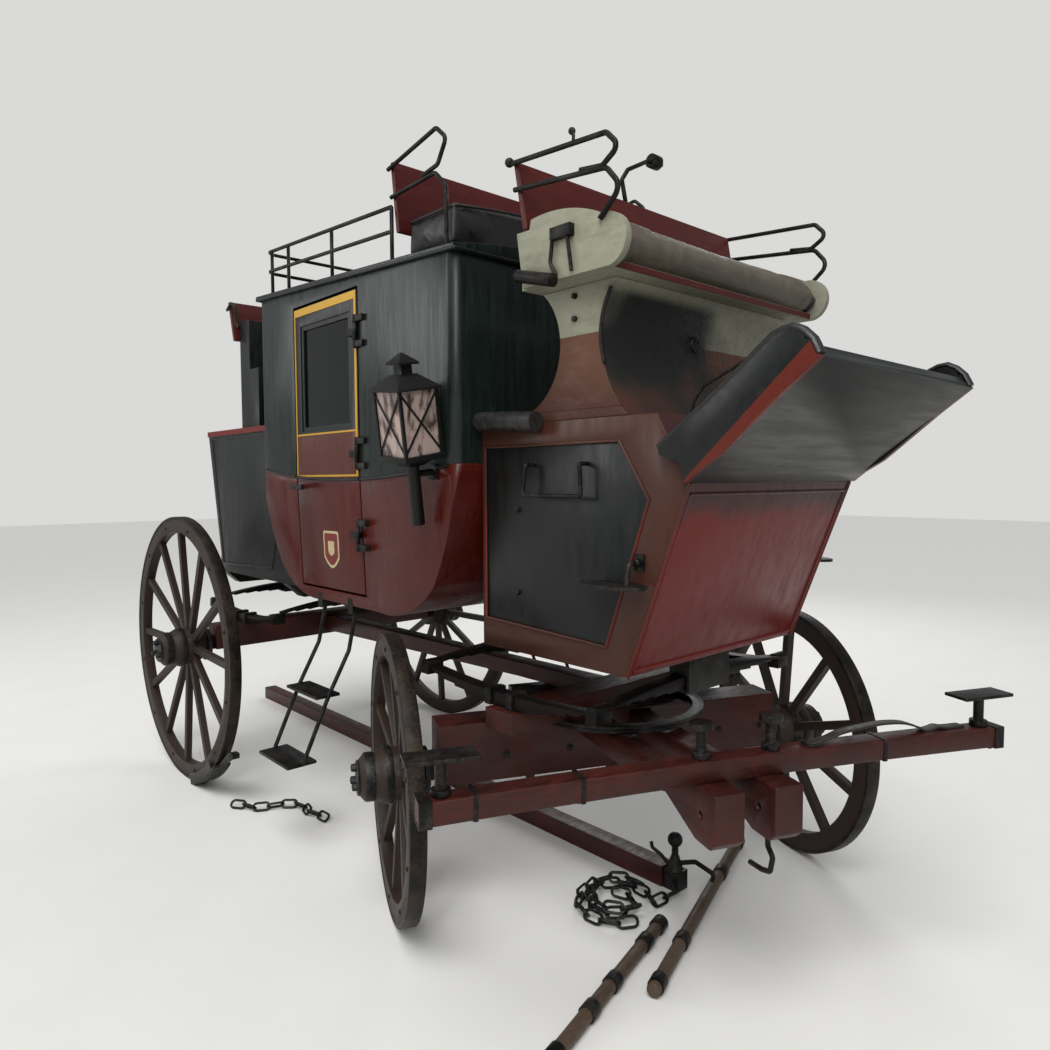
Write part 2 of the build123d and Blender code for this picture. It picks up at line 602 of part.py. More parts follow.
board = face(foot_point(0, 0), foot_point(length, 0), foot_point(length, BOARD_T),
             foot_point(0, BOARD_T))
toe = face(foot_point(length - 28, 0), foot_point(length, 0), foot_point(length, BOARD_T + 18),
           foot_point(length - 28, BOARD_T + 18))
wing = face((617, 1680), (692, 1735), (758, 1782), (880, 1873), (969, 1945), ((1016, 1963), (1059, 1925)),
            (1088, 1912), FOOTBOARD_HEAD, (1046, 1839), (939, 1749), (822, 1650), (714, 1586), (693, 1633),
            (624, 1657))
footboard = side(board, -BOOT_HALF - WING_T, BOOT_HALF + WING_T) + side(toe, -BOOT_HALF, BOOT_HALF)
footboard = footboard + both(side(wing, -BOOT_HALF - WING_T - 1, -BOOT_HALF - 1))
nodes["footboard"] = footboard - side(boot_view(-FIT), -BOOT_HALF - 0.5, BOOT_HALF + 0.5)

# Roof seat behind the driver
cushion_x = (-620, -300)
roof_cushion = box(cushion_x, (-545, 545), (2380, 2606)) - outer_form
lid_solid = roof_place * across(roof_section(roof_half, ROOF_EDGE_T + FIT, ROOF_CROWN), -roof_run, roof_run)
roof_cushion -= lid_solid
nodes["roof_cushion"] = roof_cushion
roof_back_half = 552
roof_back = side(face((-644, 2560), (-624, 2560), (-660, 2840), (-680, 2840)),
                 -roof_back_half, roof_back_half)
rail_y = roof_back_half + 8 + FIT
for sign in (-1, 1):
    y = sign * rail_y
    high = rod([(-684, y, 2812), (-360, y, 2868), (-300, y, 2815), (-353, y, 2736), (-450, y, 2722)], 8, 24)
    low = rod([(-664, y, 2700), (-370, y, 2712), (-306, y, 2650), (-303, y, roof_z(-303, rail_y))], 8, 30)
    seat_irons += [high, low - lid_solid]

# Irons on the front boot, its riser and the wings of the footboard
STEP_T = 10
tread_y, tread_z, arm_x, boss_z = -BOOT_HALF - 70, 1276, 534, 1342
tread = Pos(491, tread_y, tread_z) * extrude(Ellipse(121, 62), STEP_T / 2, both=True)
tread += rod([(arm_x, -BOOT_HALF - FIT, boss_z), (arm_x, tread_y + 20, boss_z),
              (arm_x, tread_y + 10, tread_z)], 8, 16)
tread += Pos(arm_x, -BOOT_HALF - 14, boss_z) * Sphere(13)
tread += box((arm_x - 20, arm_x + 20), (-BOOT_HALF - 7, -BOOT_HALF - FIT), (boss_z - 24, boss_z + 24))
panel_y = -BOOT_HALF + 4 - FIT
hoop_y = panel_y - 40
hoop = rod([(322, panel_y, 1638), (322, hoop_y, 1638), (328, hoop_y, 1536), (58, hoop_y, 1536),
            (72, hoop_y, 1638), (72, panel_y, 1638)], 7, 10)
edge_y = -BOOT_HALF - 6 - FIT
edge_path = ThreePointArc((427, edge_y, 2167), (386, edge_y, 2060), (401, edge_y, 1943))
edge_iron = sweep(Plane(origin=edge_path @ 0, z_dir=edge_path % 0) * Circle(6), path=edge_path)
wing_y = -BOOT_HALF - 1 - WING_T / 2
wing_iron = rod([(719, wing_y, 1745), (732, wing_y, 1802), (764, wing_y, 1840), (934, wing_y, 1911)], 5, 14)
boot_irons = tread + hoop + edge_iron + (wing_iron - footboard)
bolt_table = (
    # x, z, the face they are on
    (271, 2165, -BOOT_HALF), (271, 2094, -BOOT_HALF), (-11, 1194, panel_y), (-9, 1484, panel_y))
for x, z, y in bolt_table:
    boot_irons += crossbar(x, z, y - 10, y - FIT, 9)
boot_irons = both(boot_irons)
riser_ring = Pos(399, -29, 2046) * Rot(0, 90, 0) * Torus(22, 4)
riser_ring += Pos(394, -29, 2068) * Rot(0, 90, 0) * Cylinder(8, 20)
nodes["boot_irons"] = boot_irons + (riser_ring - riser)

# Roll of leather strapped to the side of the boot
ROLL_R = 34
roll_y = -BOOT_HALF - ROLL_R - 1 - FIT
leather_roll = Pos(-22, roll_y, 1787) * Rot(0, 93.3, 0) * (
    Cylinder(ROLL_R, 300) + Cylinder(ROLL_R + 4, 24) + Pos(0, 0, -161) * Cone(14, ROLL_R, 22))
nodes["leather_roll"] = leather_roll - box((-300, 300), (-BOOT_HALF - FIT, 0), (1700, 1900))

# Luggage rail round the rear of the roof
rail_half = 588
posts = (-620, -1094, -1510, -1756)
rail = None
for height in (112, 205):
    corners = []
    for x in posts:
        corners.append((x, -rail_half, roof_z(x, rail_half) + height))
    route = [corners[0], corners[-1], (corners[-1][0], rail_half, corners[-1][2]),
             (corners[0][0], rail_half, corners[0][2])]
    bar = rod(route, 8, 60)
    rail = bar if rail is None else rail + bar
for x in posts:
    for sign in (-1, 1):
        foot = roof_z(x, rail_half)
        x_post = x if x > -1700 else x + 70
        rail = rail + upright(x_post, sign * rail_half, foot - 6, roof_z(x_post, rail_half) + 205, 8)
nodes["luggage_rail"] = rail - lid_solid

# Hind boot with its door
boot_rear_x = HIND_REAR_TOP[0]


def hind_view(i):
    """Side view of the hind boot, or of its inside."""
    return face((-1500, HIND_BOTTOM + i), (HIND_REAR_FOOT[0] + 60 + i, HIND_BOTTOM + i),
                (HIND_REAR_FOOT[0] + 1.02 * i, HIND_REAR_FOOT[1] + 0.3 * i),
                (HIND_REAR_TOP[0] + 1.02 * i, HIND_REAR_TOP[1] - i), (-1500, HIND_REAR_TOP[1] - i))


hind = side(hind_view(0), -HIND_HALF, HIND_HALF)
hind -= side(hind_view(BOOT_WALL), -HIND_HALF + BOOT_WALL, HIND_HALF - BOOT_WALL)
hind -= Pos(-FIT, 0, 0) * outer_form
hind -= Pos(40, 0, 0) * outer_form
hind -= box((BODY_REAR + 300, 0), (-CUTTER, CUTTER), (900, 2000))
hind -= box((BODY_REAR - FIT, 0), (-CUTTER, CUTTER), (BELT_END, 2000))
hatch_half, hatch_height = 400, 620
rear_lean = math.degrees(math.atan2(HIND_REAR_FOOT[0] - HIND_REAR_TOP[0],
                                    HIND_REAR_TOP[1] - HIND_REAR_FOOT[1]))
rear_middle = ((HIND_REAR_FOOT[0] + HIND_REAR_TOP[0]) / 2, (HIND_REAR_FOOT[1] + HIND_REAR_TOP[1]) / 2)
rear_plane = Pos(rear_middle[0], 0, rear_middle[1]) * Rot(0, -rear_lean, 0)


def hatch(grow):
    """Block square to the rear wall: it cuts the opening, or the door that fills it."""
    return rear_plane * box((-60, 60), (-hatch_half - grow, hatch_half + grow),
                            (-hatch_height / 2 - grow, hatch_height / 2 + grow))


hatch_pin = (-HINGE_R - 3, -hatch_half - 3)
hatch_hinge = tuple((rear_plane * Pos(*hatch_pin, 0)).position)
rear_wall = side(hind_view(0), -HIND_HALF, HIND_HALF) - side(
    hind_view(BOOT_WALL), -HIND_HALF + BOOT_WALL, HIND_HALF - BOOT_WALL)
nodes["hind_boot"] = hind - hatch(DOOR_GAP)
bearer_face = face((-480, HIND_BOTTOM + 90), (-480, HIND_BOTTOM - 4), (-400, 975), (400, 975),
                   (480, HIND_BOTTOM - 4), (480, HIND_BOTTOM + 90))
bearers = across(bearer_face, -2725, -2640) + across(bearer_face, -1880, -1800)
bearers -= outer_form + side(hind_view(-FIT), -CUTTER, CUTTER)
nodes["hind_boot_door"] = rear_wall & hatch(0)
hatch_irons = hatch_pins = None
for z in (-190, 190):
    knuckle = Pos(*hatch_pin, z) * Cylinder(HINGE_R, 2 * knuckle_half)
    strap = box((hatch_pin[0] + 3, 0), (hatch_pin[1], hatch_pin[1] + 170), (z - strap_half, z + strap_half))
    moving = knuckle + strap - Pos(*hatch_pin, z) * Cylinder(HINGE_PIN_R + PIN_GAP, 200)
    hatch_irons = moving if hatch_irons is None else hatch_irons + moving
    fixed = Pos(*hatch_pin, z) * Cylinder(HINGE_PIN_R, 4 * knuckle_half)
    for end in (-1, 1):
        middle = z + end * (1.5 * knuckle_half + 0.5)
        fixed += Pos(*hatch_pin, middle) * Cylinder(HINGE_R, knuckle_half - 1)
        fixed += box((hatch_pin[0] + 3, 0), (hatch_pin[1] - strap_run, hatch_pin[1]),
                     (middle - strap_half, middle + strap_half))
    hatch_pins = fixed if hatch_pins is None else hatch_pins + fixed
latch = box((-10, 0), (hatch_half - 60, hatch_half - 26), (-60, 60))
latch += Pos(-22, hatch_half - 43, 0) * Rot(0, 90, 0) * Cylinder(9, 26)
latch += box((-44, -32), (hatch_half - 110, hatch_half - 30), (-10, 10))
nodes["hatch_irons"] = rear_plane * (hatch_irons + latch)
nodes["door_hinges"] = Compound([*door_hinges.solids(), *(rear_plane * hatch_pins).solids()])

nodes["front_springs"] = front_springs
nodes["hind_springs"] = hind_springs
nodes["spring_blocks"] = (front_blocks - outer_form) + (hind_blocks - bearers) + bearers

# Hind seat on the boot
seat_foot = HIND_REAR_TOP[1] + FIT
hind_box = side(face((-2385, seat_foot), (-2150, seat_foot), (-2150, 2210), (-2262, 2210),
                     (-2262, 2480), (-2385, 2500)), -470, 470)
hind_box -= side(face((-2361, seat_foot - 1), (-2174, seat_foot - 1), (-2174, 2186), (-2361, 2186)),
                 -446, 446)
nodes["hind_seat"] = hind_box
hind_back_half = 500
hind_back = side(face((-2407, 2380), (-2385 - FIT, 2380), (-2446, 2606), (-2468, 2606)),
                 -hind_back_half, hind_back_half)
for sign in (-1, 1):
    y = sign * (hind_back_half + 8 + FIT)
    seat_irons.append(rod([(-2460, y, 2560), (-2400, y, 2590), (-2340, y, 2560), (-2345, y, 2470),
                           (-2300, y, 2440)], 8, 18))
nodes["backrests"] = driver_back + (roof_back - lid_solid) + hind_back
irons = seat_irons[0]
for piece in seat_irons[1:]:
    irons = irons + piece
nodes["seat_irons"] = irons

# Steps under the doors
step_x = (-1262, -990)


def step_set():
    """Two straps that hang outwards under the right door, with two treads."""
    irons = None
    for x in step_x:
        strap = rod([(x, -560, 1030), (x, -600, 850), (x, -700, 670), (x, -825, 400)], 9, 40)
        irons = strap if irons is None else irons + strap
    for y, z, depth in ((-705, 668, 110), (-830, 400, 130)):
        irons = irons + box((step_x[0] - 4, step_x[1] + 4), (y - depth / 2, y + depth / 2),
                            (z - 6, z + 6))
    for x in step_x:
        irons = irons + box((x - 20, x + 20), (-590, -440), (1010, BODY_BOTTOM + 40))
    return irons - body_form(-FIT)


nodes["steps"] = both(step_set())

# Lamps on the front corners, leaning out a little
LAMP_FOOT = (-335, -BODY_HALF - 93, 1684)
LAMP_LEAN = (10, 5.5)     # degrees outwards and forwards
LAMP_HALF = 82
LAMP_GLASS_H = 226
LAMP_BAR = 11             # the corner bars and the crossed straps


def hip(half_low, half_high, low, high):
    """Square hipped piece."""
    return loft([Pos(0, 0, low) * Rectangle(2 * half_low, 2 * half_low),
                 Pos(0, 0, high) * Rectangle(2 * half_high, 2 * half_high)])


def lamp():
    """Frame of a square lamp with hipped cap, chimney and candle tube, and its four panes."""
    half, tall = LAMP_HALF, LAMP_GLASS_H
    frame = Pos(0, 0, -10) * Box(2 * half + 12, 2 * half + 12, 20)
    frame += hip(30, half - 22, -44, -20)
    frame += Pos(0, 0, tall + 3) * Box(2 * half + 20, 2 * half + 20, 8)
    frame += hip(half + 10, 34, tall + 7, tall + 54)
    frame += Pos(0, 0, tall + 70) * Box(46, 46, 40)
    frame += hip(44, 40, tall + 86, tall + 92) + hip(44, 3, tall + 92, tall + 128)
    frame += upright(0, 0, -262, -30, 23)
    for x in (-1, 1):
        for y in (-1, 1):
            frame += Pos(x * (half - 5), y * (half - 5), tall / 2) * Box(LAMP_BAR, LAMP_BAR, tall)
    angle = math.degrees(math.atan2(tall, 2 * half))
    strap = Box(math.hypot(tall, 2 * half) - 16, 3, 7)
    panes = None
    for quarter in range(4):
        face_turn = Rot(0, 0, 90 * quarter)
        for lean in (-angle, angle):
            frame += face_turn * Pos(0, -half + 3.5, tall / 2) * Rot(0, lean, 0) * strap
        pane = face_turn * Pos(0, -half + 8, (tall - 1) / 2) * Box(
            2 * (half - 5 - LAMP_BAR / 2 - FIT), 3, tall - 1 - 2 * FIT)
        panes = pane if panes is None else panes + pane
    lean_out, lean_forward = LAMP_LEAN
    place = Pos(*LAMP_FOOT) * Rot(lean_out, 0, 0) * Rot(0, lean_forward, 0)
    x, y, z = LAMP_FOOT
    arm = rod([(x, y + 6, z - 74), (x, -BODY_HALF + 40, z - 60)], 12, 10) - outer_form
    arm += box((x - 30, x + 30), (-BODY_HALF - 8, -BODY_HALF), (z - 92, z - 36))
    return place * frame + arm, place * panes


lamp_frame, lamp_panes = lamp()
nodes["lamps"] = both(lamp_frame)
nodes["lamp_glass"] = both(lamp_panes)

# Pole, laid on the floor with its head, and the two lead bars before it
POLE_Y = 125
POLE_T = 80
nodes["pole"] = box((-3440, 180), (POLE_Y - POLE_T / 2, POLE_Y + POLE_T / 2), (0, POLE_T))
POLE_TIP = 180
tip_x = POLE_TIP + 34
pole_head = (box((POLE_TIP + FIT, POLE_TIP + 70), (POLE_Y - 32, POLE_Y + 32), (0, 74))
             + Pos(tip_x, POLE_Y, 100) * Cone(34, 15, 60) + upright(tip_x, POLE_Y, 125, 178, 13)
             + Pos(tip_x, POLE_Y, 190) * Sphere(29))
pole_head += rod([(tip_x + 10, POLE_Y, 100), (tip_x + 90, POLE_Y + 6, 132), (tip_x + 172, POLE_Y + 10, 112),
                  (tip_x + 164, POLE_Y + 10, 84)], 9, 14)
pole_head += rod([(tip_x - 20, POLE_Y, 76), (tip_x - 60, POLE_Y - 10, 112), (tip_x - 100, POLE_Y - 14, 128),
                  (tip_x - 106, POLE_Y - 14, 150)], 7, 10)
LEAD_R = 22
FERRULE_R, FERRULE_L = 27, 46
lead_table = (
    # start, end, places of the ferrules along it
    ((190, 620), (570, -460), (40, 330, 850, 1100)),
    ((352, -135), (642, -1190), (30, 150, 395, 550, 760)))
lead_bars, ferrules = [], []
for start, end, places in lead_table:
    angle = math.degrees(math.atan2(end[1] - start[1], end[0] - start[0]))
    lay = Pos(*start, FERRULE_R) * Rot(0, 0, angle) * Rot(0, 90, 0)
    run = math.dist(start, end)
    lead_bars.append(lay * Pos(0, 0, run / 2) * Cylinder(LEAD_R, run))
    for place in places:
        ferrules.append(lay * Pos(0, 0, place) * (Cylinder(FERRULE_R, FERRULE_L)
                                                  - Cylinder(LEAD_R + FIT, FERRULE_L)))
nodes["lead_bars"] = Compound(lead_bars)

# Drag shoe under the hind right wheel, and its chain
shoe_in, shoe_out = REAR_WHEEL_D / 2 + 6, REAR_WHEEL_D / 2 + 18


def about_wheel(radius, degrees):
    """A point of the side view, at an angle before the hind wheel's foot."""
    a = math.radians(degrees)
    return (-WHEELBASE + radius * math.sin(a), REAR_WHEEL_D / 2 - radius * math.cos(a))


def shoe_arc(inner, outer, first, last):
    """A curved strip that follows the wheel."""
    middle = (first + last) / 2
    return face(about_wheel(inner, first), (about_wheel(inner, middle), about_wheel(inner, last)),
                about_wheel(outer, last), (about_wheel(outer, middle), about_wheel(outer, first)))


tyre_sides = (-WHEEL_FACE, -WHEEL_FACE + TYRE_W)
SHOE_GAP, SHOE_T = 8, 8
shoe = side(shoe_arc(shoe_in, shoe_out, 13, 43), tyre_sides[0] - SHOE_GAP - SHOE_T,
            tyre_sides[1] + SHOE_GAP + SHOE_T)
for low in (tyre_sides[0] - SHOE_GAP - SHOE_T, tyre_sides[1] + SHOE_GAP):
    shoe += side(shoe_arc(shoe_in - 46, shoe_out, 13, 40), low, low + SHOE_T)
shoe_y = sum(tyre_sides) / 2
neck_end = (-WHEELBASE + 647, 268)
neck = side(face(about_wheel(shoe_in, 42), (neck_end[0] - 20, neck_end[1] + 16),
                 (neck_end[0] + 22, neck_end[1] + 16), (neck_end[0] + 22, neck_end[1] - 8),
                 (neck_end[0] - 20, neck_end[1] - 10), about_wheel(shoe_out, 42)),
            shoe_y - 18, shoe_y + 18)
neck -= crossbar(neck_end[0] + 2, neck_end[1] + 4, -1000, -700, 6)
shoe += neck

LINK_L, LINK_W, LINK_T = 84, 46, 9
LINK_PITCH = LINK_L - 2 * LINK_T - 0.6


def chain(points, first_roll=45):
    """Links end to end along a route: each is square to the last."""
    link = extrude(SlotOverall(LINK_L, LINK_W) - SlotOverall(LINK_L - 2 * LINK_T, LINK_W - 2 * LINK_T),
                   LINK_T / 2, both=True)
    links = []
    for number, (start, end) in enumerate(zip(points, points[1:])):
        a, b = Vector(*start), Vector(*end)
        here = Plane(origin=(a + b) * 0.5, x_dir=b - a, z_dir=Vector(0, 0, 1) if abs((b - a).Z) < 40
                     else Vector(0, 1, 0))
        links.append(here * Rot(first_roll + 90 * number, 0, 0) * link)
    return links


def chain_route(start, headings, height):
    """Joints of a chain on the floor: one heading for each link."""
    points = [(*start, height)]
    for degrees in headings:
        a = math.radians(degrees)
        x, y, z = points[-1]
        points.append((x + LINK_PITCH * math.cos(a), y + LINK_PITCH * math.sin(a), z))
    return points


lie = (LINK_W / 2 + LINK_T / 2) * math.sin(math.radians(45))
drag_chain = chain(chain_route((-WHEELBASE + 602, -850), (35, 20, 62, 70, 48, 15, -12, 20, 5), lie))
nodes["drag_shoe"] = Compound([shoe] + drag_chain)


def coil(middle, radius, first, count, height):
    """Joints of a chain coiled on the floor."""
    step = 2 * math.asin(LINK_PITCH / 2 / radius)
    return [(middle[0] + radius * math.cos(math.radians(first) + number * step),
             middle[1] + radius * math.sin(math.radians(first) + number * step), height)
            for number in range(count + 1)]


pole_chain = chain([(262, 78, lie), (254, 13, lie)] + coil((150, -150), 140, 45, 11, lie))
pole_chain += chain(coil((142, -158), 80, 200, 6, lie))
pole_chain += chain(coil((160, -145), 112, 80, 8, 2.98 * lie))
nodes["pole_irons"] = Compound([pole_head - nodes["pole"]] + ferrules + pole_chain)

# Origin in the middle of the footprint
whole = Compound([s for shape in nodes.values() for s in shape.solids()])
limits = whole.bounding_box()
shift = Pos(-(limits.min.X + limits.max.X) / 2, -(limits.min.Y + limits.max.Y) / 2, 0)
os.makedirs("parts", exist_ok=True)
for name, shape in nodes.items():
    export_step(shift * shape, f"parts/{name}.step")
print("moved by", shift.position, "low", limits.min, "high", limits.max)
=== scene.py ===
"""Looks of a four-wheeled mail coach: paint, leather, trim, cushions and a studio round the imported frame.

Points are in metres from the foot of the kingpin, with X forward, Y left and Z up, until piece() puts them in
the frame.
"""
import json
import math
from functools import partial

import bmesh
import bpy
import numpy as np
from bpy.props import FloatProperty, FloatVectorProperty, PointerProperty
from mathutils import Matrix, Vector

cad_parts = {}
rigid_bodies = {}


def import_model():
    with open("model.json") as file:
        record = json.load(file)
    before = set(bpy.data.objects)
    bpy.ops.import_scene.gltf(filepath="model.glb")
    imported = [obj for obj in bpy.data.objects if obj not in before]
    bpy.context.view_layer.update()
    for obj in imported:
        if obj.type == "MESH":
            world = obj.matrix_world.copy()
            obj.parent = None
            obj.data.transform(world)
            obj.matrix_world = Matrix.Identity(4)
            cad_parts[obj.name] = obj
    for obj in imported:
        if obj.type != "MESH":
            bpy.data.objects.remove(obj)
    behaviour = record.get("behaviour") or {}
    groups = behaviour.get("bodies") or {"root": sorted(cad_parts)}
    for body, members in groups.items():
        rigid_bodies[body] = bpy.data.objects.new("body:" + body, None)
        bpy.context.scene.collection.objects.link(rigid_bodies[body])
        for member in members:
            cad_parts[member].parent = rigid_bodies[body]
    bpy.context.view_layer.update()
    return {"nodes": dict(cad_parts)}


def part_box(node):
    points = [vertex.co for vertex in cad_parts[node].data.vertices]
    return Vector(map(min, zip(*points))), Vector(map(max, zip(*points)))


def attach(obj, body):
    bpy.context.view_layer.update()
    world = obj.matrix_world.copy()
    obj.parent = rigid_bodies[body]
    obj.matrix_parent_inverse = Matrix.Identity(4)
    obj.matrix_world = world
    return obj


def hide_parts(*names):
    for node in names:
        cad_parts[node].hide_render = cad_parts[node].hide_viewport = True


bl_info = {
    "name": "Mail coach finisher",
    "version": (1, 0, 0),
    "blender": (4, 5, 0),
    "location": "3D View > Sidebar > Coach",
    "description": "Dresses a coach's frame with paint, leather, lining, bolts and a studio",
    "category": "Object",
}

for stray in list(bpy.data.objects):
    bpy.data.objects.remove(stray)
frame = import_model()


def middle_of(node):
    """Middle of a node's box."""
    low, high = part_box(node)
    return (np.array(low) + np.array(high)) / 2


MM = 0.001
WELD = 0.02 * MM                      # points closer than this are one
SIDES = {"right": -1, "left": 1}      # which way along Y a side of the coach lies
WHEELS = ("front_right", "front_left", "rear_right", "rear_left")
SPOKES = {"front": 10, "rear": 12}
UP = np.array((0, 0, 1))
OUT = (0, -1, 0)                      # away from the coach, on its right side
KINGPIN = middle_of("upper_plate_and_kingpin") * (1, 1, 0)
STEER = math.radians(-24.57)          # the fore-carriage stands turned to the right


def limits(node):
    """Low and high corner of a node's box, measured from the kingpin."""
    return [np.array(corner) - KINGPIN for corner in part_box(node)]


def half_width(node):
    """Half of a node's size across the coach."""
    low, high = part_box(node)
    return (high.y - low.y) / 2


BODY_SIDE = half_width("body_upper")
BODY_REAR, BODY_FRONT = (corner[0] for corner in limits("body_upper"))
BOOT_SIDE = half_width("front_boot")
HIND_SIDE = half_width("hind_boot")
DOOR_X, _, DOOR_Z = zip(*limits("door_frame_right"))
WINDOW_X, _, WINDOW_Z = zip(*limits("door_glass_right"))
BELT_END, BELT_MIDDLE = 1.656, 1.592  # height of the belt at its ends and in the middle
TURN_UNDER_TOP = 1.58                 # below this the body's sides lean in
TURN_UNDER = 0.022 / 0.545            # by this share of the height
RAIL_Z = 1.798                        # gold rail under the window
ROOF_EDGE_FRONT, ROOF_EDGE_REAR = 2.390, 2.482        # heights
BEAD_GAP, LINING_GAP, LINING_FOOT = 0.012, 0.004, 1.606

# Paints, as sRGB. A user changes them in the sidebar.
PAINTS = (
    # name, sRGB hex, what it is on
    ("bottle_green", "101816", "upper panels and roof"),
    # painted sheen: this lighter green stands in for highlights, in long vertical streaks over the upper
    # panels and roof, and also on their rubbed places
    ("bottle_green_sheen", "24302D", "faded streaks of the upper panels"),
    ("maroon", "400D06", "lower panels and doors"),
    ("maroon_faded", "561B0F", "faded patches of the lower panels, foot of the footboard's wings"),
    ("door_brown", "4E241B", "panel under a door's window"),
    ("boot_red", "620E07", "front boot and top edges of the hind boot"),
    ("boot_red_faded", "6E2615", "rubbed places of the front boot"),
    # this dull black is also the painted shade on the hollow front of the seat's riser
    ("boot_black", "0D100F", "sunk panels of the front boot, hind boot"),
    ("boot_black_faded", "1A1B1A", "rubbed places of the dark boots"),
    ("boot_side", "3E2116", "sides of the front boot"),
    ("seat_grey", "8A8A78", "seat ends and top of the riser"),
    ("seat_grey_worn", "6B685A", "handled places of the seat"),
    ("seat_brown", "5C3C2B", "waist and foot of the riser"),
    ("board_red", "430E09", "back boards"),
    ("gear_red", "2C0F0A", "splinter bar, beds, perch and futchells"),
    ("gear_worn", "55301F", "rubbed edges of the carriage timbers"),
    ("wheel_brown", "271E17", "naves, spokes and felloes"),
    ("wheel_worn", "4E3F32", "rubbed edges of the wheels"),
    ("iron_black", "121110", "painted ironwork"),
    ("iron_bare", "57534E", "iron where the paint is gone"),
    ("gold", "B98F2C", "lining of the doors"),
    ("hide_brown", "4B443A", "driver's cushion and the seats inside"),
    ("hide_black", "171616", "roof cushion, roll and trace"),
    ("studio", "D9D8D4", "floor"),
)
TRIM = (
    # name, size in metres, what it is
    ("lining", 0.015, "Width of the gold lining beside a door's window"),
    ("bead", 0.013, "Width of a half-round moulding"),
    ("bolt", 0.011, "Radius of a bolt's head"),
    ("piping", 0.0055, "Radius of a cushion's piping"),
)


def linear(code):
    """sRGB hex to the linear colour that a shader takes."""
    channels = [int(code[k:k + 2], 16) / 255 for k in (0, 2, 4)]
    return tuple(c / 12.92 if c <= 0.04045 else ((c + 0.055) / 1.055) ** 2.4 for c in channels)


class CoachPaints(bpy.types.PropertyGroup):
    """Colours of the coach."""
    __annotations__ = {
        name: FloatVectorProperty(name=name.replace("_", " "), description=text, subtype="COLOR",
                                  size=3, min=0, max=1, default=linear(code))
        for name, code, text in PAINTS}


class CoachTrim(bpy.types.PropertyGroup):
    """Sizes of the trim."""
    __annotations__ = {
        name: FloatProperty(name=name.capitalize(), description=text, default=size, unit="LENGTH")
        for name, size, text in TRIM}


def colour(name, share=1.0):
    """A share of one of the scene's paints, with full alpha."""
    return shade(getattr(bpy.context.scene.coach_paints, name), share)


def shade(rgb, share=1.0):
    """A share of a linear colour, no brighter than white, with full alpha."""
    return (*(min(1.0, share * c) for c in rgb), 1.0)


# Surfaces
def quads(rows, columns, wrap_rows=False):
    """Faces of a grid of points kept row by row; each row closes on itself, and the rows where they wrap."""
    row, column = np.meshgrid(np.arange(rows if wrap_rows else rows - 1), np.arange(columns), indexing="ij")
    below, beside = (row + 1) % rows, (column + 1) % columns
    corners = (row * columns + column, row * columns + beside, below * columns + beside,
               below * columns + column)
    return np.stack(corners, -1).reshape(-1, 4).tolist()


def end_faces(rows, columns):
    """The two faces that close a tube of rings."""
    return [list(range(columns)), list(range((rows - 1) * columns, rows * columns))]


def unit(vectors):
    """Vectors divided by their lengths."""
    vectors = np.asarray(vectors, float)
    return vectors / np.maximum(np.linalg.norm(vectors, axis=-1, keepdims=True), 1e-12)


def carry(profile, path, side, closed=False):
    """Profile carried along a path: point + profile x times the mitred normal + profile y times side."""
    path, profile, side = np.asarray(path, float), np.asarray(profile, float), unit(side)
    ahead = np.roll(path, -1, 0) - path
    if not closed:
        ahead[-1] = ahead[-2]
    ahead = unit(ahead)
    behind = np.roll(ahead, 1, 0)
    if not closed:
        behind[0] = ahead[0]
    normal = unit(np.cross(side, unit(ahead + behind)))
    mitre = 1 / np.maximum((normal * unit(np.cross(side, ahead))).sum(-1), 0.4)
    rings = (path[:, None] + profile[None, :, :1] * (normal * mitre[:, None])[:, None]
             + profile[None, :, 1:] * side)
    rows, columns = len(path), len(profile)
    return rings.reshape(-1, 3), quads(rows, columns, closed) + ([] if closed else end_faces(rows, columns))


def turned_about(profile, origin, axis, sides=16):
    """Profile of radius and height turned about an axis: origin + r (a cos t + b sin t) + h axis."""
    profile, axis = np.asarray(profile, float), unit(axis)
    a = unit(np.cross(axis, UP if abs(axis[2]) < 0.9 else (1, 0, 0)))
    b = np.cross(axis, a)
    turn = np.linspace(0, 2 * math.pi, sides, endpoint=False)[:, None]
    around = np.cos(turn) * a + np.sin(turn) * b
    rings = np.asarray(origin, float) + profile[:, None, :1] * around + profile[:, None, 1:] * axis
    return rings.reshape(-1, 3), quads(len(profile), sides) + end_faces(len(profile), sides)


def joined(*parts):
    """Several surfaces as one."""
    points, faces, count = [], [], 0
    for part_points, part_faces in parts:
        points.append(part_points)
        faces += [[corner + count for corner in face] for face in part_faces]
        count += len(part_points)
    return np.concatenate(points), faces


def copies(surface, origins):
    """The same surface at several places."""
    points, faces = surface
    return joined(*((points + np.asarray(origin, float), faces) for origin in origins))


def mirrored(surface):
    """The surface on the other side of the coach."""
    points, faces = surface
    return points * (1, -1, 1), [face[::-1] for face in faces]


def both(surface):
    """The surface and its twin."""
    return joined(surface, mirrored(surface))


def steered(surface):
    """The surface turned with the fore-carriage about the kingpin."""
    points, faces = surface
    c, s = math.cos(STEER), math.sin(STEER)
    return points @ np.array([[c, s, 0], [-s, c, 0], [0, 0, 1]]), faces


def circle(radius, sides=10):
    """Round profile."""
    turn = np.linspace(0, 2 * math.pi, sides, endpoint=False)
    return np.stack([np.cos(turn), np.sin(turn)], -1) * radius


def half_round(width, height, steps=7):
    """Half-round profile that sits a little into the surface under it."""
    turn = np.linspace(0, math.pi, steps)
    arch = np.stack([np.cos(turn) * width / 2, np.sin(turn) * height], -1)
    return np.concatenate([[(width / 2, -MM)], arch, [(-width / 2, -MM)]])


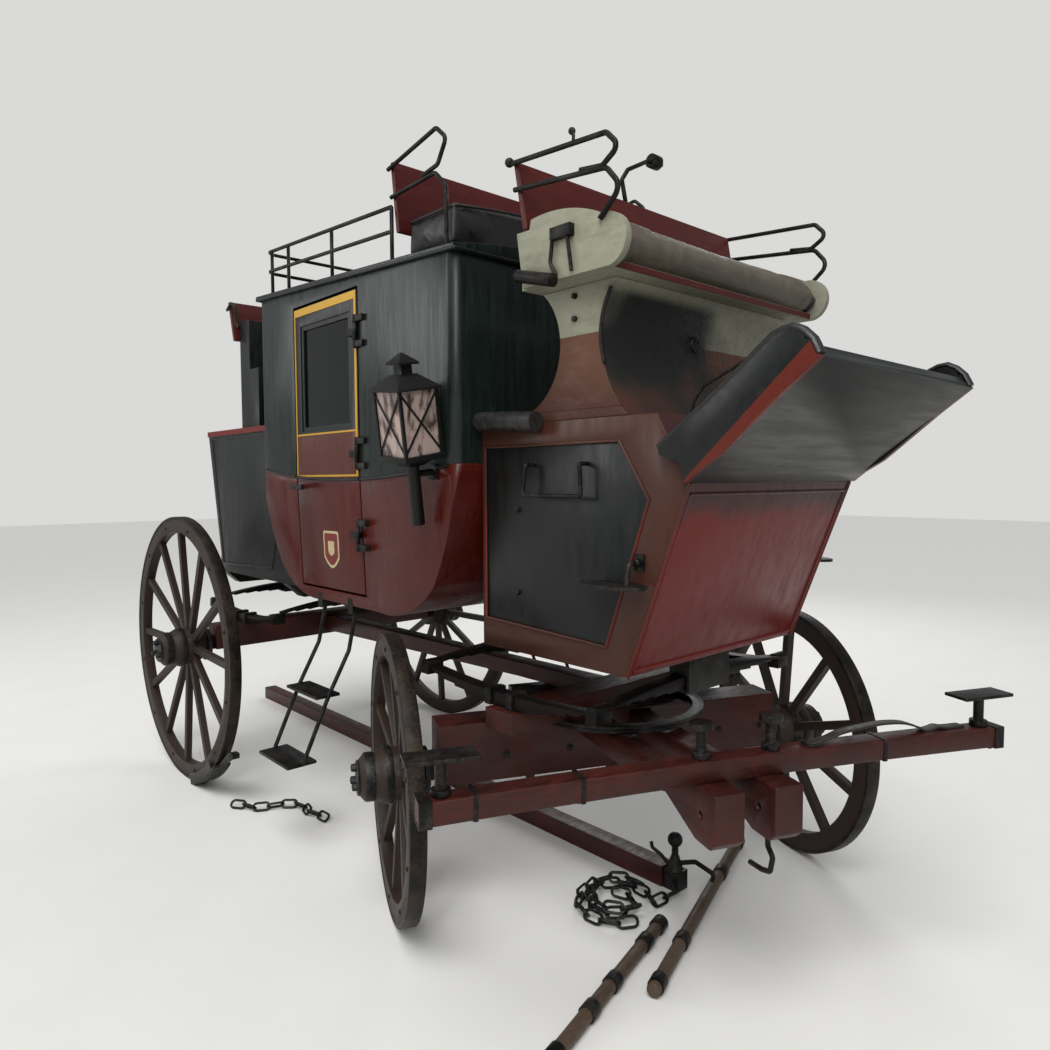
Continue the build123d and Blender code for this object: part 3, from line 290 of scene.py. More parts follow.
def flat_bar(width, height, ease=0.2):
    """Flat profile with eased corners, from 1 mm under the surface."""
    w, e = width / 2, height * ease
    half = np.array([(w, -MM), (w, height - e), (w - e, height)])
    return np.concatenate([half, half[::-1] * (-1, 1)])


def round_corners(points, radius, steps=5):
    """Closed route with rounded corners, each a quadratic curve between two points beside the corner."""
    points = np.asarray(points, float)
    before, after = unit(np.roll(points, 1, 0) - points), unit(np.roll(points, -1, 0) - points)
    t = np.linspace(0, 1, steps)[None, :, None]
    start, end = (points + before * radius)[:, None], (points + after * radius)[:, None]
    bend = (1 - t) ** 2 * start + 2 * t * (1 - t) * points[:, None] + t ** 2 * end
    return bend.reshape(-1, points.shape[1])


def smooth_line(points, count):
    """Catmull-Rom curve through the points."""
    points = np.asarray(points, float)
    padded = np.concatenate([[2 * points[0] - points[1]], points, [2 * points[-1] - points[-2]]])
    place = np.linspace(0, len(points) - 1, count)
    start = np.minimum(place.astype(int), len(points) - 2)
    t = (place - start)[:, None]
    a, b, c, d = (padded[start + k] for k in range(4))
    return 0.5 * (2 * b + (c - a) * t + (2 * a - 5 * b + 4 * c - d) * t ** 2
                  + (3 * b - a - 3 * c + d) * t ** 3)


def side_points(pairs, y):
    """Points of the side view (x, z) at a distance from the middle."""
    return np.insert(np.asarray(pairs, float), 1, y, axis=1)


def ring_between(outer, inner, depth_axis, low, high):
    """A frame: two rectangles of like points, carried from one depth to another."""
    loops = [np.insert(loop, depth_axis, depth, axis=1)
             for loop, depth in ((outer, low), (outer, high), (inner, high), (inner, low))]
    return np.concatenate(loops), quads(4, len(outer), wrap_rows=True)


def rectangle(x, z):
    """Corners of a rectangle between two values on each axis."""
    return np.array([(x[0], z[0]), (x[1], z[0]), (x[1], z[1]), (x[0], z[1])])


def inset(box_x, box_z, left, right=None, bottom=None, top=None):
    """Corners of a rectangle drawn inside another one, by the same on all sides unless each is given."""
    right, bottom, top = (left if gap is None else gap for gap in (right, bottom, top))
    return rectangle((box_x[0] + left, box_x[1] - right), (box_z[0] + bottom, box_z[1] - top))


def outward_mesh(name, points, faces, weld=0.0):
    """Mesh with its faces outwards, and with points that lie closer than weld made one."""
    mesh = bpy.data.meshes.new(name)
    mesh.from_pydata(points.tolist(), [], faces)
    work = bmesh.new()
    work.from_mesh(mesh)
    if weld:
        bmesh.ops.remove_doubles(work, verts=work.verts, dist=weld)
    bmesh.ops.recalc_face_normals(work, faces=work.faces)
    work.to_mesh(mesh)
    work.free()
    return mesh


def shown(name, data):
    """A new object of the scene."""
    made = bpy.data.objects.new(name, data)
    bpy.context.scene.collection.objects.link(made)
    return made


def smoothed(mesh):
    """Shades every face smooth."""
    mesh.polygons.foreach_set("use_smooth", np.ones(len(mesh.polygons), bool))


# The part's material that a finish stands for, where a piece doesn't name its own; piece() looks it up but
# does nothing with it
SLOTS = {"blacked_wrought_iron": "iron", "rolled_tyre_iron": "iron", "black_hide": "black_leather",
         "dull_board_paint": "red_board", "coach_varnish_boot": "boot_red", "coach_varnish_red": "boot_red",
         "painted_ash_gear": "gear_wood", "lamp_sheet_iron": "lamp_metal"}


def piece(name, surface, finish, body="coach", slot=None, angle=38):
    """Makes a mesh of points measured from the kingpin, with its faces outwards and sharp edges marked."""
    points, faces = surface
    mesh = outward_mesh(name, points + KINGPIN, faces)
    smoothed(mesh)
    mesh.set_sharp_from_angle(angle=math.radians(angle))
    mesh.materials.append(bpy.data.materials[finish])
    made = shown(name, mesh)
    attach(made, body)
    slot = slot or SLOTS.get(finish)
    return made


def bolts(points, axis, radius, height=None):
    """Domed heads on thin washers, at several places of one face."""
    height = height or 0.7 * radius
    head = [(radius * 1.3, -MM), (radius * 1.3, 0.2 * height), (radius, 0.25 * height),
            (0.85 * radius, 0.75 * height), (0.45 * radius, height), (0.05 * radius, 1.04 * height)]
    return copies(turned_about(head, (0, 0, 0), axis, 10), points)


# Materials
SMOOTH = {"interpolation_type": "SMOOTHSTEP"}
RGBA = {"data_type": "RGBA"}          # a Mix node has its two colours at inputs 6 and 7, and gives output 2
TIMES, PLUS, MINUS = ({"operation": name} for name in ("MULTIPLY", "ADD", "SUBTRACT"))


def shader_node(tree, kind, settings=None, *values, out=0, **sockets):
    """Adds a node and gives one of its outputs.

    Settings are the node's own properties. Values go to its first inputs in their order, and sockets to
    inputs by name, or by i and a number. Each takes a value or another node's output.
    """
    made = tree.nodes.new("ShaderNode" + kind)
    for key, value in (settings or {}).items():
        setattr(made, key, value)
    for key, value in [*enumerate(values), *sockets.items()]:
        if isinstance(key, str):
            key = int(key[1:]) if key[1:].isdigit() else key.replace("_", " ")
        if isinstance(value, bpy.types.NodeSocket):
            tree.links.new(value, made.inputs[key])
        else:
            made.inputs[key].default_value = value
    return made.outputs[out] if made.outputs else None


def start_material(name):
    """An empty material: the call that adds its nodes, and its Object coordinates."""
    material = bpy.data.materials.new(name)
    material.use_nodes = True
    material.node_tree.nodes.clear()
    add = partial(shader_node, material.node_tree)
    return add, add("TexCoord", out="Object")


FINISHES = (
    # name, paint, second paint, rubbed paint, patches in mm, grain in mm, how each axis is stretched,
    # lowest and highest roughness, relief in mm, varnish, share of metal, share of the second paint
    # Brushed coach varnish: even, glossy, with long vertical streaks of crazing and fading; on the green the
    # lighter streaks are a painted sheen
    ("coach_varnish_green", "bottle_green", "bottle_green_sheen", "bottle_green_sheen",
     380, 26, (1, 1, 0.09), (0.22, 0.42), 0.25, 0.05),
    ("coach_varnish_maroon", "maroon", "maroon_faded", "maroon_faded",
     300, 30, (1, 1, 0.12), (0.24, 0.45), 0.25, 0.05),
    ("coach_varnish_red", "boot_red", "boot_red_faded", "boot_red_faded",
     260, 34, (1, 1, 0.15), (0.28, 0.5), 0.25, 0.05),
    ("coach_varnish_boot", "boot_red", "boot_red_faded", "boot_side",
     260, 34, (1, 1, 0.15), (0.3, 0.5), 0.25, 0.05, 0.0, 0.3),
    ("coach_varnish_black", "boot_black", "boot_black_faded", "boot_black_faded",
     240, 30, (1, 1, 0.2), (0.3, 0.5), 0.3, 0.05),
    # Brushed lead paint gone matt and rubbed
    ("rubbed_seat_paint", "seat_grey", "seat_grey_worn", "seat_brown",
     150, 18, (0.3, 1, 1), (0.45, 0.7), 0.3),
    ("dull_board_paint", "board_red", "maroon_faded", "gear_worn",
     220, 22, (1, 0.12, 1), (0.4, 0.62), 0.3, 0.05),
    ("door_frame_paint", "door_brown", "maroon", "gear_worn",
     180, 16, (1, 1, 0.15), (0.3, 0.5), 0.2, 0.05),
    ("footboard_paint", "boot_black", "boot_black_faded", "boot_red_faded",
     240, 30, (1, 0.1, 1), (0.3, 0.45), 0.15, 0.05, 0.0, 0.3),
    # Painted ash: its long pores show through as fine ridges
    ("painted_ash_gear", "gear_red", "maroon_faded", "gear_worn",
     200, 9, (0.4, 0.12, 1), (0.38, 0.62), 0.5, 0.05),
    ("painted_ash_wheel", "wheel_brown", "gear_red", "wheel_worn",
     140, 7, (1, 1, 1), (0.45, 0.7), 0.5),
    ("bare_ash_bar", "wheel_worn", "wheel_brown", "wheel_worn",
     120, 6, (1, 0.1, 1), (0.4, 0.6), 0.4),
    # Wrought iron, blacked: hammered skin, grey where hands and weather rub it
    ("blacked_wrought_iron", "iron_black", "iron_bare", "iron_bare",
     90, 12, (1, 1, 1), (0.34, 0.6), 0.35, 0.0, 0.55, 0.35),
    ("rolled_tyre_iron", "iron_black", "wheel_worn", "iron_bare",
     110, 8, (1, 1, 1), (0.4, 0.68), 0.5, 0.0, 0.5, 0.6),
    ("spring_steel", "iron_black", "gear_red", "iron_bare",
     120, 10, (1, 1, 1), (0.35, 0.6), 0.3, 0.0, 0.6, 0.4),
    # Sheet iron of a lamp, painted grey-green and soldered at its edges
    ("lamp_sheet_iron", "boot_black_faded", "iron_black", "iron_bare",
     60, 8, (1, 1, 1), (0.32, 0.55), 0.2, 0.0, 0.4, 0.6),
    # Gold size under leaf: warm, slightly uneven
    ("gold_leaf_lining", "gold", "gold", "gold",
     60, 10, (1, 1, 1), (0.3, 0.48), 0.1, 0.0, 0.25),
)


def painted(name, base, second, worn, patch, grain, stretch, rough, relief, coat=0.0, metallic=0.0, mix=0.5):
    """A finish of two mixed colours and a third where edges are rubbed. Patch, grain and relief are in mm."""
    add, place = start_material(name)
    patches = add("TexNoise", Vector=place, Scale=1000 / patch, Detail=4.0, Roughness=0.6)
    laid = add("Mapping", Vector=place, Scale=stretch)
    streaks = add("TexNoise", Vector=laid, Scale=1000 / grain, Detail=5.0, Roughness=0.65)
    scuffs = add("TexNoise", Vector=laid, Scale=2600 / grain, Detail=6.0, Roughness=0.7)
    # share of the second paint: streaks of fading, and on the green a painted sheen
    fade_and_sheen = add("MapRange", SMOOTH, add("Math", TIMES, patches, streaks), 0.16, 0.42, 0.0, mix)
    rubbed = add("Math", TIMES, add("MapRange", SMOOTH, scuffs, 0.58, 0.72),
                 add("MapRange", SMOOTH, patches, 0.45, 0.65, 0.0, 0.6))
    paint = add("Mix", RGBA, fade_and_sheen, i6=colour(base), i7=colour(second), out=2)
    add("OutputMaterial", None, add(
        "BsdfPrincipled", Base_Color=add("Mix", RGBA, rubbed, i6=paint, i7=colour(worn), out=2),
        Roughness=add("MapRange", SMOOTH, streaks, 0.3, 0.7, *rough), Metallic=metallic, Coat_Weight=coat,
        Coat_Roughness=0.14, Specular_IOR_Level=0.3,
        Normal=add("Bump", Strength=0.5, Distance=relief * MM, Height=streaks)))


def hide(name, base, grain, crease, rough):
    """Oiled hide: rounded pebbles from a cell pattern, long creases that are duller. Sizes are in mm."""
    add, place = start_material(name)
    pebbles = add("TexVoronoi", {"feature": "SMOOTH_F1"}, Vector=place, Scale=1000 / grain, out="Distance")
    creases = add("TexNoise", Vector=place, Scale=1000 / crease, Detail=7.0, Distortion=1.2)
    lighter = add("MapRange", SMOOTH, creases, 0.35, 0.65, 0.0, 0.5)
    add("OutputMaterial", None, add(
        "BsdfPrincipled", Base_Color=add("Mix", RGBA, lighter, i6=colour(base), i7=colour(base, 1.9), out=2),
        Roughness=add("MapRange", SMOOTH, creases, 0.3, 0.7, rough, rough + 0.2),
        Normal=add("Bump", Strength=0.55, Distance=0.9 * MM, Height=add("Math", PLUS, pebbles, creases))))


def cloth(name, base, thread):
    """Corded seat cloth: two crossed waves, drawn 20 times the thread in mm so that they show."""
    add, place = start_material(name)
    waves = [add("TexWave", {"bands_direction": axis}, Vector=place, Scale=1000 / thread / 20, out=1)
             for axis in ("X", "Y")]
    fade = add("TexNoise", Vector=place, Scale=9.0, Detail=5.0)
    add("OutputMaterial", None, add(
        "BsdfPrincipled", Base_Color=add("Mix", RGBA, fade, i6=colour(base), i7=colour(base, 1.5), out=2),
        Roughness=0.85, Sheen_Weight=0.3,
        Normal=add("Bump", Strength=0.4, Distance=0.6 * MM, Height=add("Math", TIMES, *waves))))


def glass(name, tint, second, rough, clear=1.0, shine=0.5):
    """Old blown glass with a slow ripple; where it isn't clear, a second tint streaks it: smoky streaks, and
    on the lamp panes painted shade too.
    """
    add, place = start_material(name)
    ripple = add("TexNoise", Vector=place, Scale=12.0, Detail=1.0)
    streak_noise = add("TexNoise", Vector=add("Mapping", Vector=place, Scale=(1, 1, 0.4)), Scale=22.0, Detail=5.0,
                Distortion=0.6)
    smoke_and_shade = add("MapRange", SMOOTH, streak_noise, 0.42, 0.62)
    add("OutputMaterial", None, add(
        "BsdfPrincipled", Roughness=rough, IOR=1.5, Transmission_Weight=clear, Specular_IOR_Level=shine,
        Base_Color=add("Mix", RGBA, smoke_and_shade, i6=shade(linear(tint)), i7=shade(linear(second)), out=2),
        Normal=add("Bump", Strength=0.15, Distance=1.5 * MM, Height=ripple)))


def clouded(name, rgb, scale=90.0, detail=4.0, low=0.35, high=0.7, share=0.5, darker=0.6, rough=0.5):
    """A plain matt finish with darker clouds, as wax, thread, flat paint and a floor have."""
    add, place = start_material(name)
    noise = add("TexNoise", Vector=place, Scale=scale, Detail=detail)
    clouds = add("MapRange", SMOOTH, noise, low, high, 0.0, share)
    tone = add("Mix", RGBA, clouds, i6=shade(rgb), i7=shade(rgb, darker), out=2)
    add("OutputMaterial", None, add("BsdfPrincipled", Base_Color=tone, Roughness=rough))


def facing_forward(add):
    """Output that goes from 0 to 1 as a surface turns to face the front of the coach."""
    return add("MapRange", SMOOTH, add("SeparateXYZ", None, add("NewGeometry", out="True Normal")), 0.5, 0.6)


def seat_coat(add, place, paint):
    """Grey down to the riser's seam, brown and darker to its foot, with painted shade on the hollow front
    under the seat.
    """
    height = add("SeparateXYZ", None, place, out=2)
    brown = add("Mix", RGBA, add("MapRange", SMOOTH, height, 1.78, 2.02), i6=colour("boot_side"),
                i7=colour("seat_brown"), out=2)
    paint = add("Mix", RGBA, add("MapRange", SMOOTH, height, 2.040, 2.044), i6=brown, i7=paint, out=2)
    noise = add("TexNoise", Vector=place, Scale=2.2, Detail=2.0)
    # painted shade: the riser's forward faces below the seat board go towards a dull black, broken up by a
    # slow noise
    low_front = add("Math", TIMES, facing_forward(add), add("MapRange", SMOOTH, height, 2.19, 2.15))
    dark = add("Math", TIMES, low_front, add("MapRange", SMOOTH, noise, 0.62, 0.4))
    return add("Mix", RGBA, dark, i6=paint, i7=colour("boot_black_faded"), out=2)


def boot_coat(add, place, paint):
    """Brown on the sides of the front boot; its red front is dark and worn along the top."""
    noise = add("TexNoise", Vector=place, Scale=5.0, Detail=3.0)
    ragged = add("Math", {"operation": "MULTIPLY_ADD"}, noise, 0.2, add("SeparateXYZ", None, place, out=2))
    worn = add("MapRange", SMOOTH, ragged, 1.54, 1.63, 0.0, 0.75)
    red = add("Mix", RGBA, worn, i6=paint, i7=colour("boot_black_faded"), out=2)
    return add("Mix", RGBA, facing_forward(add), i6=colour("boot_side"), i7=red, out=2)


def door_coat(add, place, paint):
    """Black round the window, brown-red on the panel under it."""
    height = add("SeparateXYZ", None, place, out=2)
    above = add("MapRange", SMOOTH, height, RAIL_Z - MM, RAIL_Z + MM)
    return add("Mix", RGBA, above, i6=paint, i7=colour("boot_black"), out=2)


FOOTBOARD_FOOT, FOOTBOARD_HEAD = np.array(((0.727, 0, 1.591), (1.045, 0, 1.882))) + KINGPIN


def footboard_coat(add, place, paint):
    """The footboard is near black, with red along the foot of its wings."""
    downward = np.cross((0, 1, 0), unit(FOOTBOARD_HEAD - FOOTBOARD_FOOT))
    from_foot = add("VectorMath", MINUS, place, tuple(FOOTBOARD_FOOT))
    under = add("VectorMath", {"operation": "DOT_PRODUCT"}, from_foot, tuple(downward), out="Value")
    aside = add("Math", MINUS, add("SeparateXYZ", None, place, out=1), float(KINGPIN[1]))
    outside = add("Math", {"operation": "ABSOLUTE"}, aside)
    on_wing = add("MapRange", SMOOTH, outside, BOOT_SIDE + 0.004, BOOT_SIDE + 0.012)
    red = add("Math", TIMES, on_wing, add("MapRange", SMOOTH, under, -0.009, -0.007))
    return add("Mix", RGBA, red, i6=paint, i7=colour("maroon_faded"), out=2)


COATS = {"rubbed_seat_paint": seat_coat, "coach_varnish_boot": boot_coat, "door_frame_paint": door_coat,
         "footboard_paint": footboard_coat}


def second_coat(name, coat):
    """Lays a coat over a finished paint, between it and the shader."""
    tree = bpy.data.materials[name].node_tree
    place = next(node for node in tree.nodes if node.type == "TEX_COORD").outputs["Object"]
    base = next(node for node in tree.nodes if node.type == "BSDF_PRINCIPLED").inputs["Base Color"]
    tree.links.new(coat(partial(shader_node, tree), place, base.links[0].from_socket), base)


DRESS = (
    # words of which a node's name has one, finish, how far its edges are eased in mm; the first row counts
    (("inside_seats", "cushion", "leather_roll", "trace_strap"), "black_hide", 0.0),
    (("splinter_bar_irons", "lower_wheel_plate"), "blacked_wrought_iron", 1.5),
    (("seat_irons",), "blacked_wrought_iron", 1.0),
    (("drag_shoe", "pole_irons"), "blacked_wrought_iron", 3.2),
    (("lamp_glass",), "lamp_glass_pane", 0.0),
    (("glass",), "window_glass", 0.0),
    (("body_upper", "roof"), "coach_varnish_green", 2.0),
    (("body_lower", "door_panel"), "coach_varnish_maroon", 2.0),
    (("door_frame",), "door_frame_paint", 2.0),
    (("front_boot",), "coach_varnish_boot", 2.5),
    (("footboard",), "footboard_paint", 3.0),
    (("boot_panels", "hind_boot", "hind_seat"), "coach_varnish_black", 2.5),
    (("driver_seat", "seat_riser"), "rubbed_seat_paint", 3.0),
    (("backrests",), "dull_board_paint", 3.0),
    (("futchells", "axle_bed", "splinter_bar", "hind_bed", "transom", "perch", "pole", "body_floor"),
     "painted_ash_gear", 4.0),
    (("wheel_front", "wheel_rear"), "painted_ash_wheel", 3.5),
    (("tyre_",), "rolled_tyre_iron", 3.0),
    (("springs",), "spring_steel", 1.2),
    (("lead_bars",), "bare_ash_bar", 3.0),
    (("lamps",), "lamp_sheet_iron", 0.8),
    (("",), "blacked_wrought_iron", 1.2),
)
PLAIN = {"candle_wax": "E6DCC0", "shield_field": "B4A680", "shield_red": "6A1710", "stitch_thread": "5E5240"}


def ease(obj, width):
    """Welds a node's loose triangles, clears flat faces of their diagonals and rounds its sharp edges."""
    obj.modifiers.new("weld", "WELD").merge_threshold = WELD
    flat = obj.modifiers.new("flat", "DECIMATE")
    flat.decimate_type = "DISSOLVE"
    flat.angle_limit = math.radians(0.6)
    rounding = obj.modifiers.new("round", "BEVEL")
    rounding.width = width * MM
    rounding.segments = 2
    rounding.limit_method = "ANGLE"
    rounding.angle_limit = math.radians(32)
    rounding.harden_normals = True
    smoothed(obj.data)


class COACH_OT_finishes(bpy.types.Operator):
    """Make the paints, leathers and metals, and give each node of the frame its own"""
    bl_idname = "coach.finishes"
    bl_label = "Finishes"

    def execute(self, context):
        for row in FINISHES:
            painted(*row)
        for name, coat in COATS.items():
            second_coat(name, coat)
        hide("brown_hide", "hide_brown", 3.0, 60, 0.42)
        hide("black_hide", "hide_black", 3.0, 50, 0.38)
        cloth("seat_cloth", "hide_brown", 4.0)
        # painted shade: the window glass is tinted near black so that the coach's inside looks unlit
        glass("window_glass", "3E4442", "3E4442", 0.03, shine=0.2)
        # the dark brown second tint is partly smoky streaks and partly painted shade on the panes
        glass("lamp_glass_pane", "D2BCB2", "5C4A40", 0.22, 0.45)
        for name, code in PLAIN.items():
            clouded(name, linear(code))
        for name, obj in frame["nodes"].items():
            finish, width = next(row[1:] for row in DRESS if any(word in name for word in row[0]))
            obj.data.materials.clear()
            obj.data.materials.append(bpy.data.materials[finish])
            if width:
                ease(obj, width)
        return {"FINISHED"}


def belt_z(x):
    """Height of the belt: an arc that sags to its middle."""
    middle, half = (BODY_FRONT + BODY_REAR) / 2, (BODY_FRONT - BODY_REAR) / 2 + 0.05
    sag = BELT_END - BELT_MIDDLE
    radius = (half ** 2 + sag ** 2) / (2 * sag)
    return BELT_MIDDLE + radius - np.sqrt(radius ** 2 - (np.asarray(x) - middle) ** 2)


def side_y(z):
    """Distance of the body's side from the middle: upright above, leaning in below."""
    return BODY_SIDE - np.maximum(TURN_UNDER_TOP - np.asarray(z), 0) * TURN_UNDER


def belt_bead(first, last, bead, steps=24):
    """Half-round moulding along a stretch of the belt, on the right side."""
    x = np.linspace(first, last, steps)
    return carry(half_round(bead, 0.6 * bead), np.stack([x, np.full(steps, -BODY_SIDE), belt_z(x)], -1), OUT)


SHIELD_SIDES, SHIELD_SIZE, SHIELD_PLACE = 48, 0.068, (-1.13, 1.29)
SHIELD_LAYERS = ((1.0, 0.6, "shield_field"), (0.86, 1.0, "shield_red"), (0.4, 1.4, "shield_field"))


def shield():
    """A plain painted shield: rim, border and field, each a fan round its middle.

    Its outline is a circle with its sides and top cut flat and its lower half drawn down to a point.
    """
    turn = np.linspace(0, 2 * math.pi, SHIELD_SIDES, endpoint=False)
    x, z = np.sin(turn), np.cos(turn)
    lower = -1.35 * (1 - np.abs(x) ** 1.6) ** 0.62
    outline = np.stack([np.clip(x * 1.25, -1, 1), np.where(z < 0, lower, np.clip(z * 1.6, 0, 1.1))], -1)
    rim = [(k, k % SHIELD_SIDES + 1) for k in range(1, SHIELD_SIDES + 1)]
    back = SHIELD_SIDES + 1
    faces = [[0, k, after] for k, after in rim] + [[k, after, after + back, k + back] for k, after in rim]
    faces += [[back, after + back, k + back] for k, after in rim]
    for share, proud, finish in SHIELD_LAYERS:
        flat = np.concatenate([[(0, 0)], outline * share]) * SHIELD_SIZE + SHIELD_PLACE
        points = np.stack([flat[:, 0], -side_y(flat[:, 1]) - proud * MM, flat[:, 1]], -1)
        yield finish, (np.concatenate([points, points + (0, 2 * MM, 0)]), faces)


class COACH_OT_body_trim(bpy.types.Operator):
    """Add beads, gold lining, window sashes, cornice and shields to the body and doors"""
    bl_idname = "coach.body_trim"
    bl_label = "Body trim"

    def execute(self, context):
        bead, gold = context.scene.coach_trim.bead, context.scene.coach_trim.lining
        front = belt_bead(DOOR_X[1] + BEAD_GAP, BODY_FRONT - 0.04, bead)
        rear = belt_bead(BODY_REAR + 0.04, DOOR_X[0] - BEAD_GAP, bead)
        piece("belt_moulding", both(joined(front, rear)), "coach_varnish_black", slot="body_green")
        frame_x = DOOR_X[0] + LINING_GAP, DOOR_X[1] - LINING_GAP
        frame_z = LINING_FOOT, DOOR_Z[1] - LINING_GAP
        lines = ring_between(rectangle(frame_x, frame_z),
                             inset(frame_x, frame_z, 0.6 * gold, gold, 0.55 * gold, 2.2 * gold), 1,
                             -BODY_SIDE - 2.2 * MM, -BODY_SIDE + MM)
        rail = carry(flat_bar(0.55 * gold, 2.2 * MM), side_points(
            [(frame_x[0] + 0.6 * gold, RAIL_Z), (frame_x[1] - gold, RAIL_Z)], -BODY_SIDE), OUT)
        sash = ring_between(rectangle(WINDOW_X, WINDOW_Z), inset(WINDOW_X, WINDOW_Z, 0.02), 1,
                            -BODY_SIDE + 5 * MM, -BODY_SIDE + 13 * MM)
        door = [("door_belt_moulding", belt_bead(*DOOR_X, bead), "coach_varnish_black", "body_green"),
                ("door_gold_lining", joined(lines, rail), "gold_leaf_lining", None),
                ("window_sash", sash, "door_frame_paint", None)]
        door += [(f"door_shield_{number}", surface, finish, None)
                 for number, (finish, surface) in enumerate(shield(), 1)]
        for hand in SIDES:
            for name, surface, finish, slot in door:
                surface = mirrored(surface) if hand == "left" else surface
                piece(f"{name}_{hand}", surface, finish, f"door_{hand}", slot)
        x, y, _ = zip(*limits("roof"))
        flat = round_corners(inset(x, y, MM), 0.01)
        fall = (ROOF_EDGE_REAR - ROOF_EDGE_FRONT) / (BODY_FRONT - BODY_REAR)
        route = np.column_stack([flat, ROOF_EDGE_FRONT + 0.005 + fall * (BODY_FRONT - flat[:, 0])])
        profile = half_round(0.013, 0.005)[:, ::-1] * (-1, 1)
        cornice = carry(profile, route, UP, closed=True)
        piece("roof_cornice", cornice, "coach_varnish_black", slot="body_green")
        return {"FINISHED"}


# Lines of the side view, as x and z, and the strip along the seat's front
BOOT_SEAM = ((-0.1, 1.812), (0.462, 1.812))
BOOT_FACE = ((0.485, 0.985), (0.709, 1.577))
BOOT_PANEL = ((-0.180, 1.087), (0.401, 1.067), (0.567, 1.528), (0.452, 1.705), (-0.180, 1.705))
WING_TOP = ((0.617, 1.680), (0.692, 1.735), (0.758, 1.782), (0.880, 1.873), (0.969, 1.945), (0.996, 1.957),
            (1.024, 1.960), (1.052, 1.946), (1.077, 1.922), (1.095, 1.886))
HIND_PANEL = ((-2.66, 1.10), (-2.80, 1.84), (-1.86, 1.84), (-1.83, 1.62), (-1.99, 1.12))
HIND_TOP = ((-2.852, 1.872), (-1.82, 1.872))
SEAT_FRONT = ((0.4995, -0.566, 2.208), (0.4995, 0.566, 2.208))


class COACH_OT_boot_trim(bpy.types.Operator):
    """Add mouldings to the front boot, footboard, riser, seat and hind boot"""
    bl_idname = "coach.boot_trim"
    bl_label = "Boot trim"

    def execute(self, context):
        bead = context.scene.coach_trim.bead
        panel = side_points(BOOT_PANEL, -BOOT_SIDE)
        around = carry(half_round(0.8 * bead, 0.4 * bead), panel, OUT, closed=True)
        edge = carry(circle(0.5 * bead), side_points(BOOT_FACE, -BOOT_SIDE + 0.004), OUT)
        piece("boot_side_mouldings", both(joined(around, edge)), "coach_varnish_boot")
        foot, head = side_points(BOOT_FACE, 0)
        slope = unit(head - foot)
        low, high = foot + slope * 0.02, head - slope * 0.035
        half = np.array((0, BOOT_SIDE - 0.02, 0))
        lines = ((low - half, low + half), (high - half, high + half), (low - half, high - half),
                 (low + half, high + half))
        bars = [carry(half_round(bead, 0.45 * bead), line, np.cross((0, 1, 0), slope)) for line in lines]
        piece("boot_front_mouldings", joined(*bars), "coach_varnish_boot")
        cap = carry(circle(0.0165, 12) * (0.62, 1), side_points(WING_TOP, -BOOT_SIDE - 0.014), OUT)
        piece("footboard_wing_caps", both(cap), "black_hide")
        board = carry(flat_bar(0.020, 0.004), SEAT_FRONT, (1, 0, 0))
        seam = carry(flat_bar(0.004, 0.0012), side_points(BOOT_SEAM, -BOOT_SIDE), OUT)
        piece("seat_front_strip", joined(board, both(seam)), "dull_board_paint")
        hind = carry(half_round(bead, 0.5 * bead), side_points(HIND_PANEL, -HIND_SIDE), OUT, closed=True)
        piece("hind_boot_mouldings", both(hind), "coach_varnish_black", slot="boot_dark")
        top = carry(flat_bar(0.03, 0.006), side_points(HIND_TOP, -HIND_SIDE), OUT)
        piece("hind_boot_top_edges", both(top), "coach_varnish_red")
        return {"FINISHED"}


# Ironwork of a nave, as radius and distance outwards from the middle of the tyre
HOOPS = (
    # inner radius, radius of its corners, outer radius, start, width
    (0.0985, 0.1015, 0.103, -0.040, 0.026),
    (0.0985, 0.1015, 0.103, 0.012, 0.026),
    (0.083, 0.0865, 0.0875, 0.076, 0.032),
)
HOOP_EASE = 0.004
NOSE_PLATE = ((0.062, 0.126), (0.064, 0.133), (0.06, 0.137), (0.02, 0.139), (0.001, 0.139))
NOSE_BOLT = ((0.0145, -0.004), (0.0145, 0.012), (0.012, 0.016), (0.001, 0.018))
NOSE_BOLT_CIRCLE, NOSE_FACE = 0.039, 0.14
FELLOE_FACE, FELLOE_DEPTH = 0.025, 0.05


def hoop(inner, corner, outer, start, width):
    """Profile of an iron hoop with eased edges."""
    end = start + width
    return [(inner, start), (corner, start), (outer, start + HOOP_EASE), (outer, end - HOOP_EASE),
            (corner, end), (inner, end)]


def spots_round(middle, axis, radius, degrees):
    """Places on a circle round an axis: middle + radius times (level cos t + upright sin t)."""
    turn = np.radians(degrees)[:, None]
    return middle + radius * (np.cos(turn) * unit(np.cross(axis, UP)) + np.sin(turn) * UP)


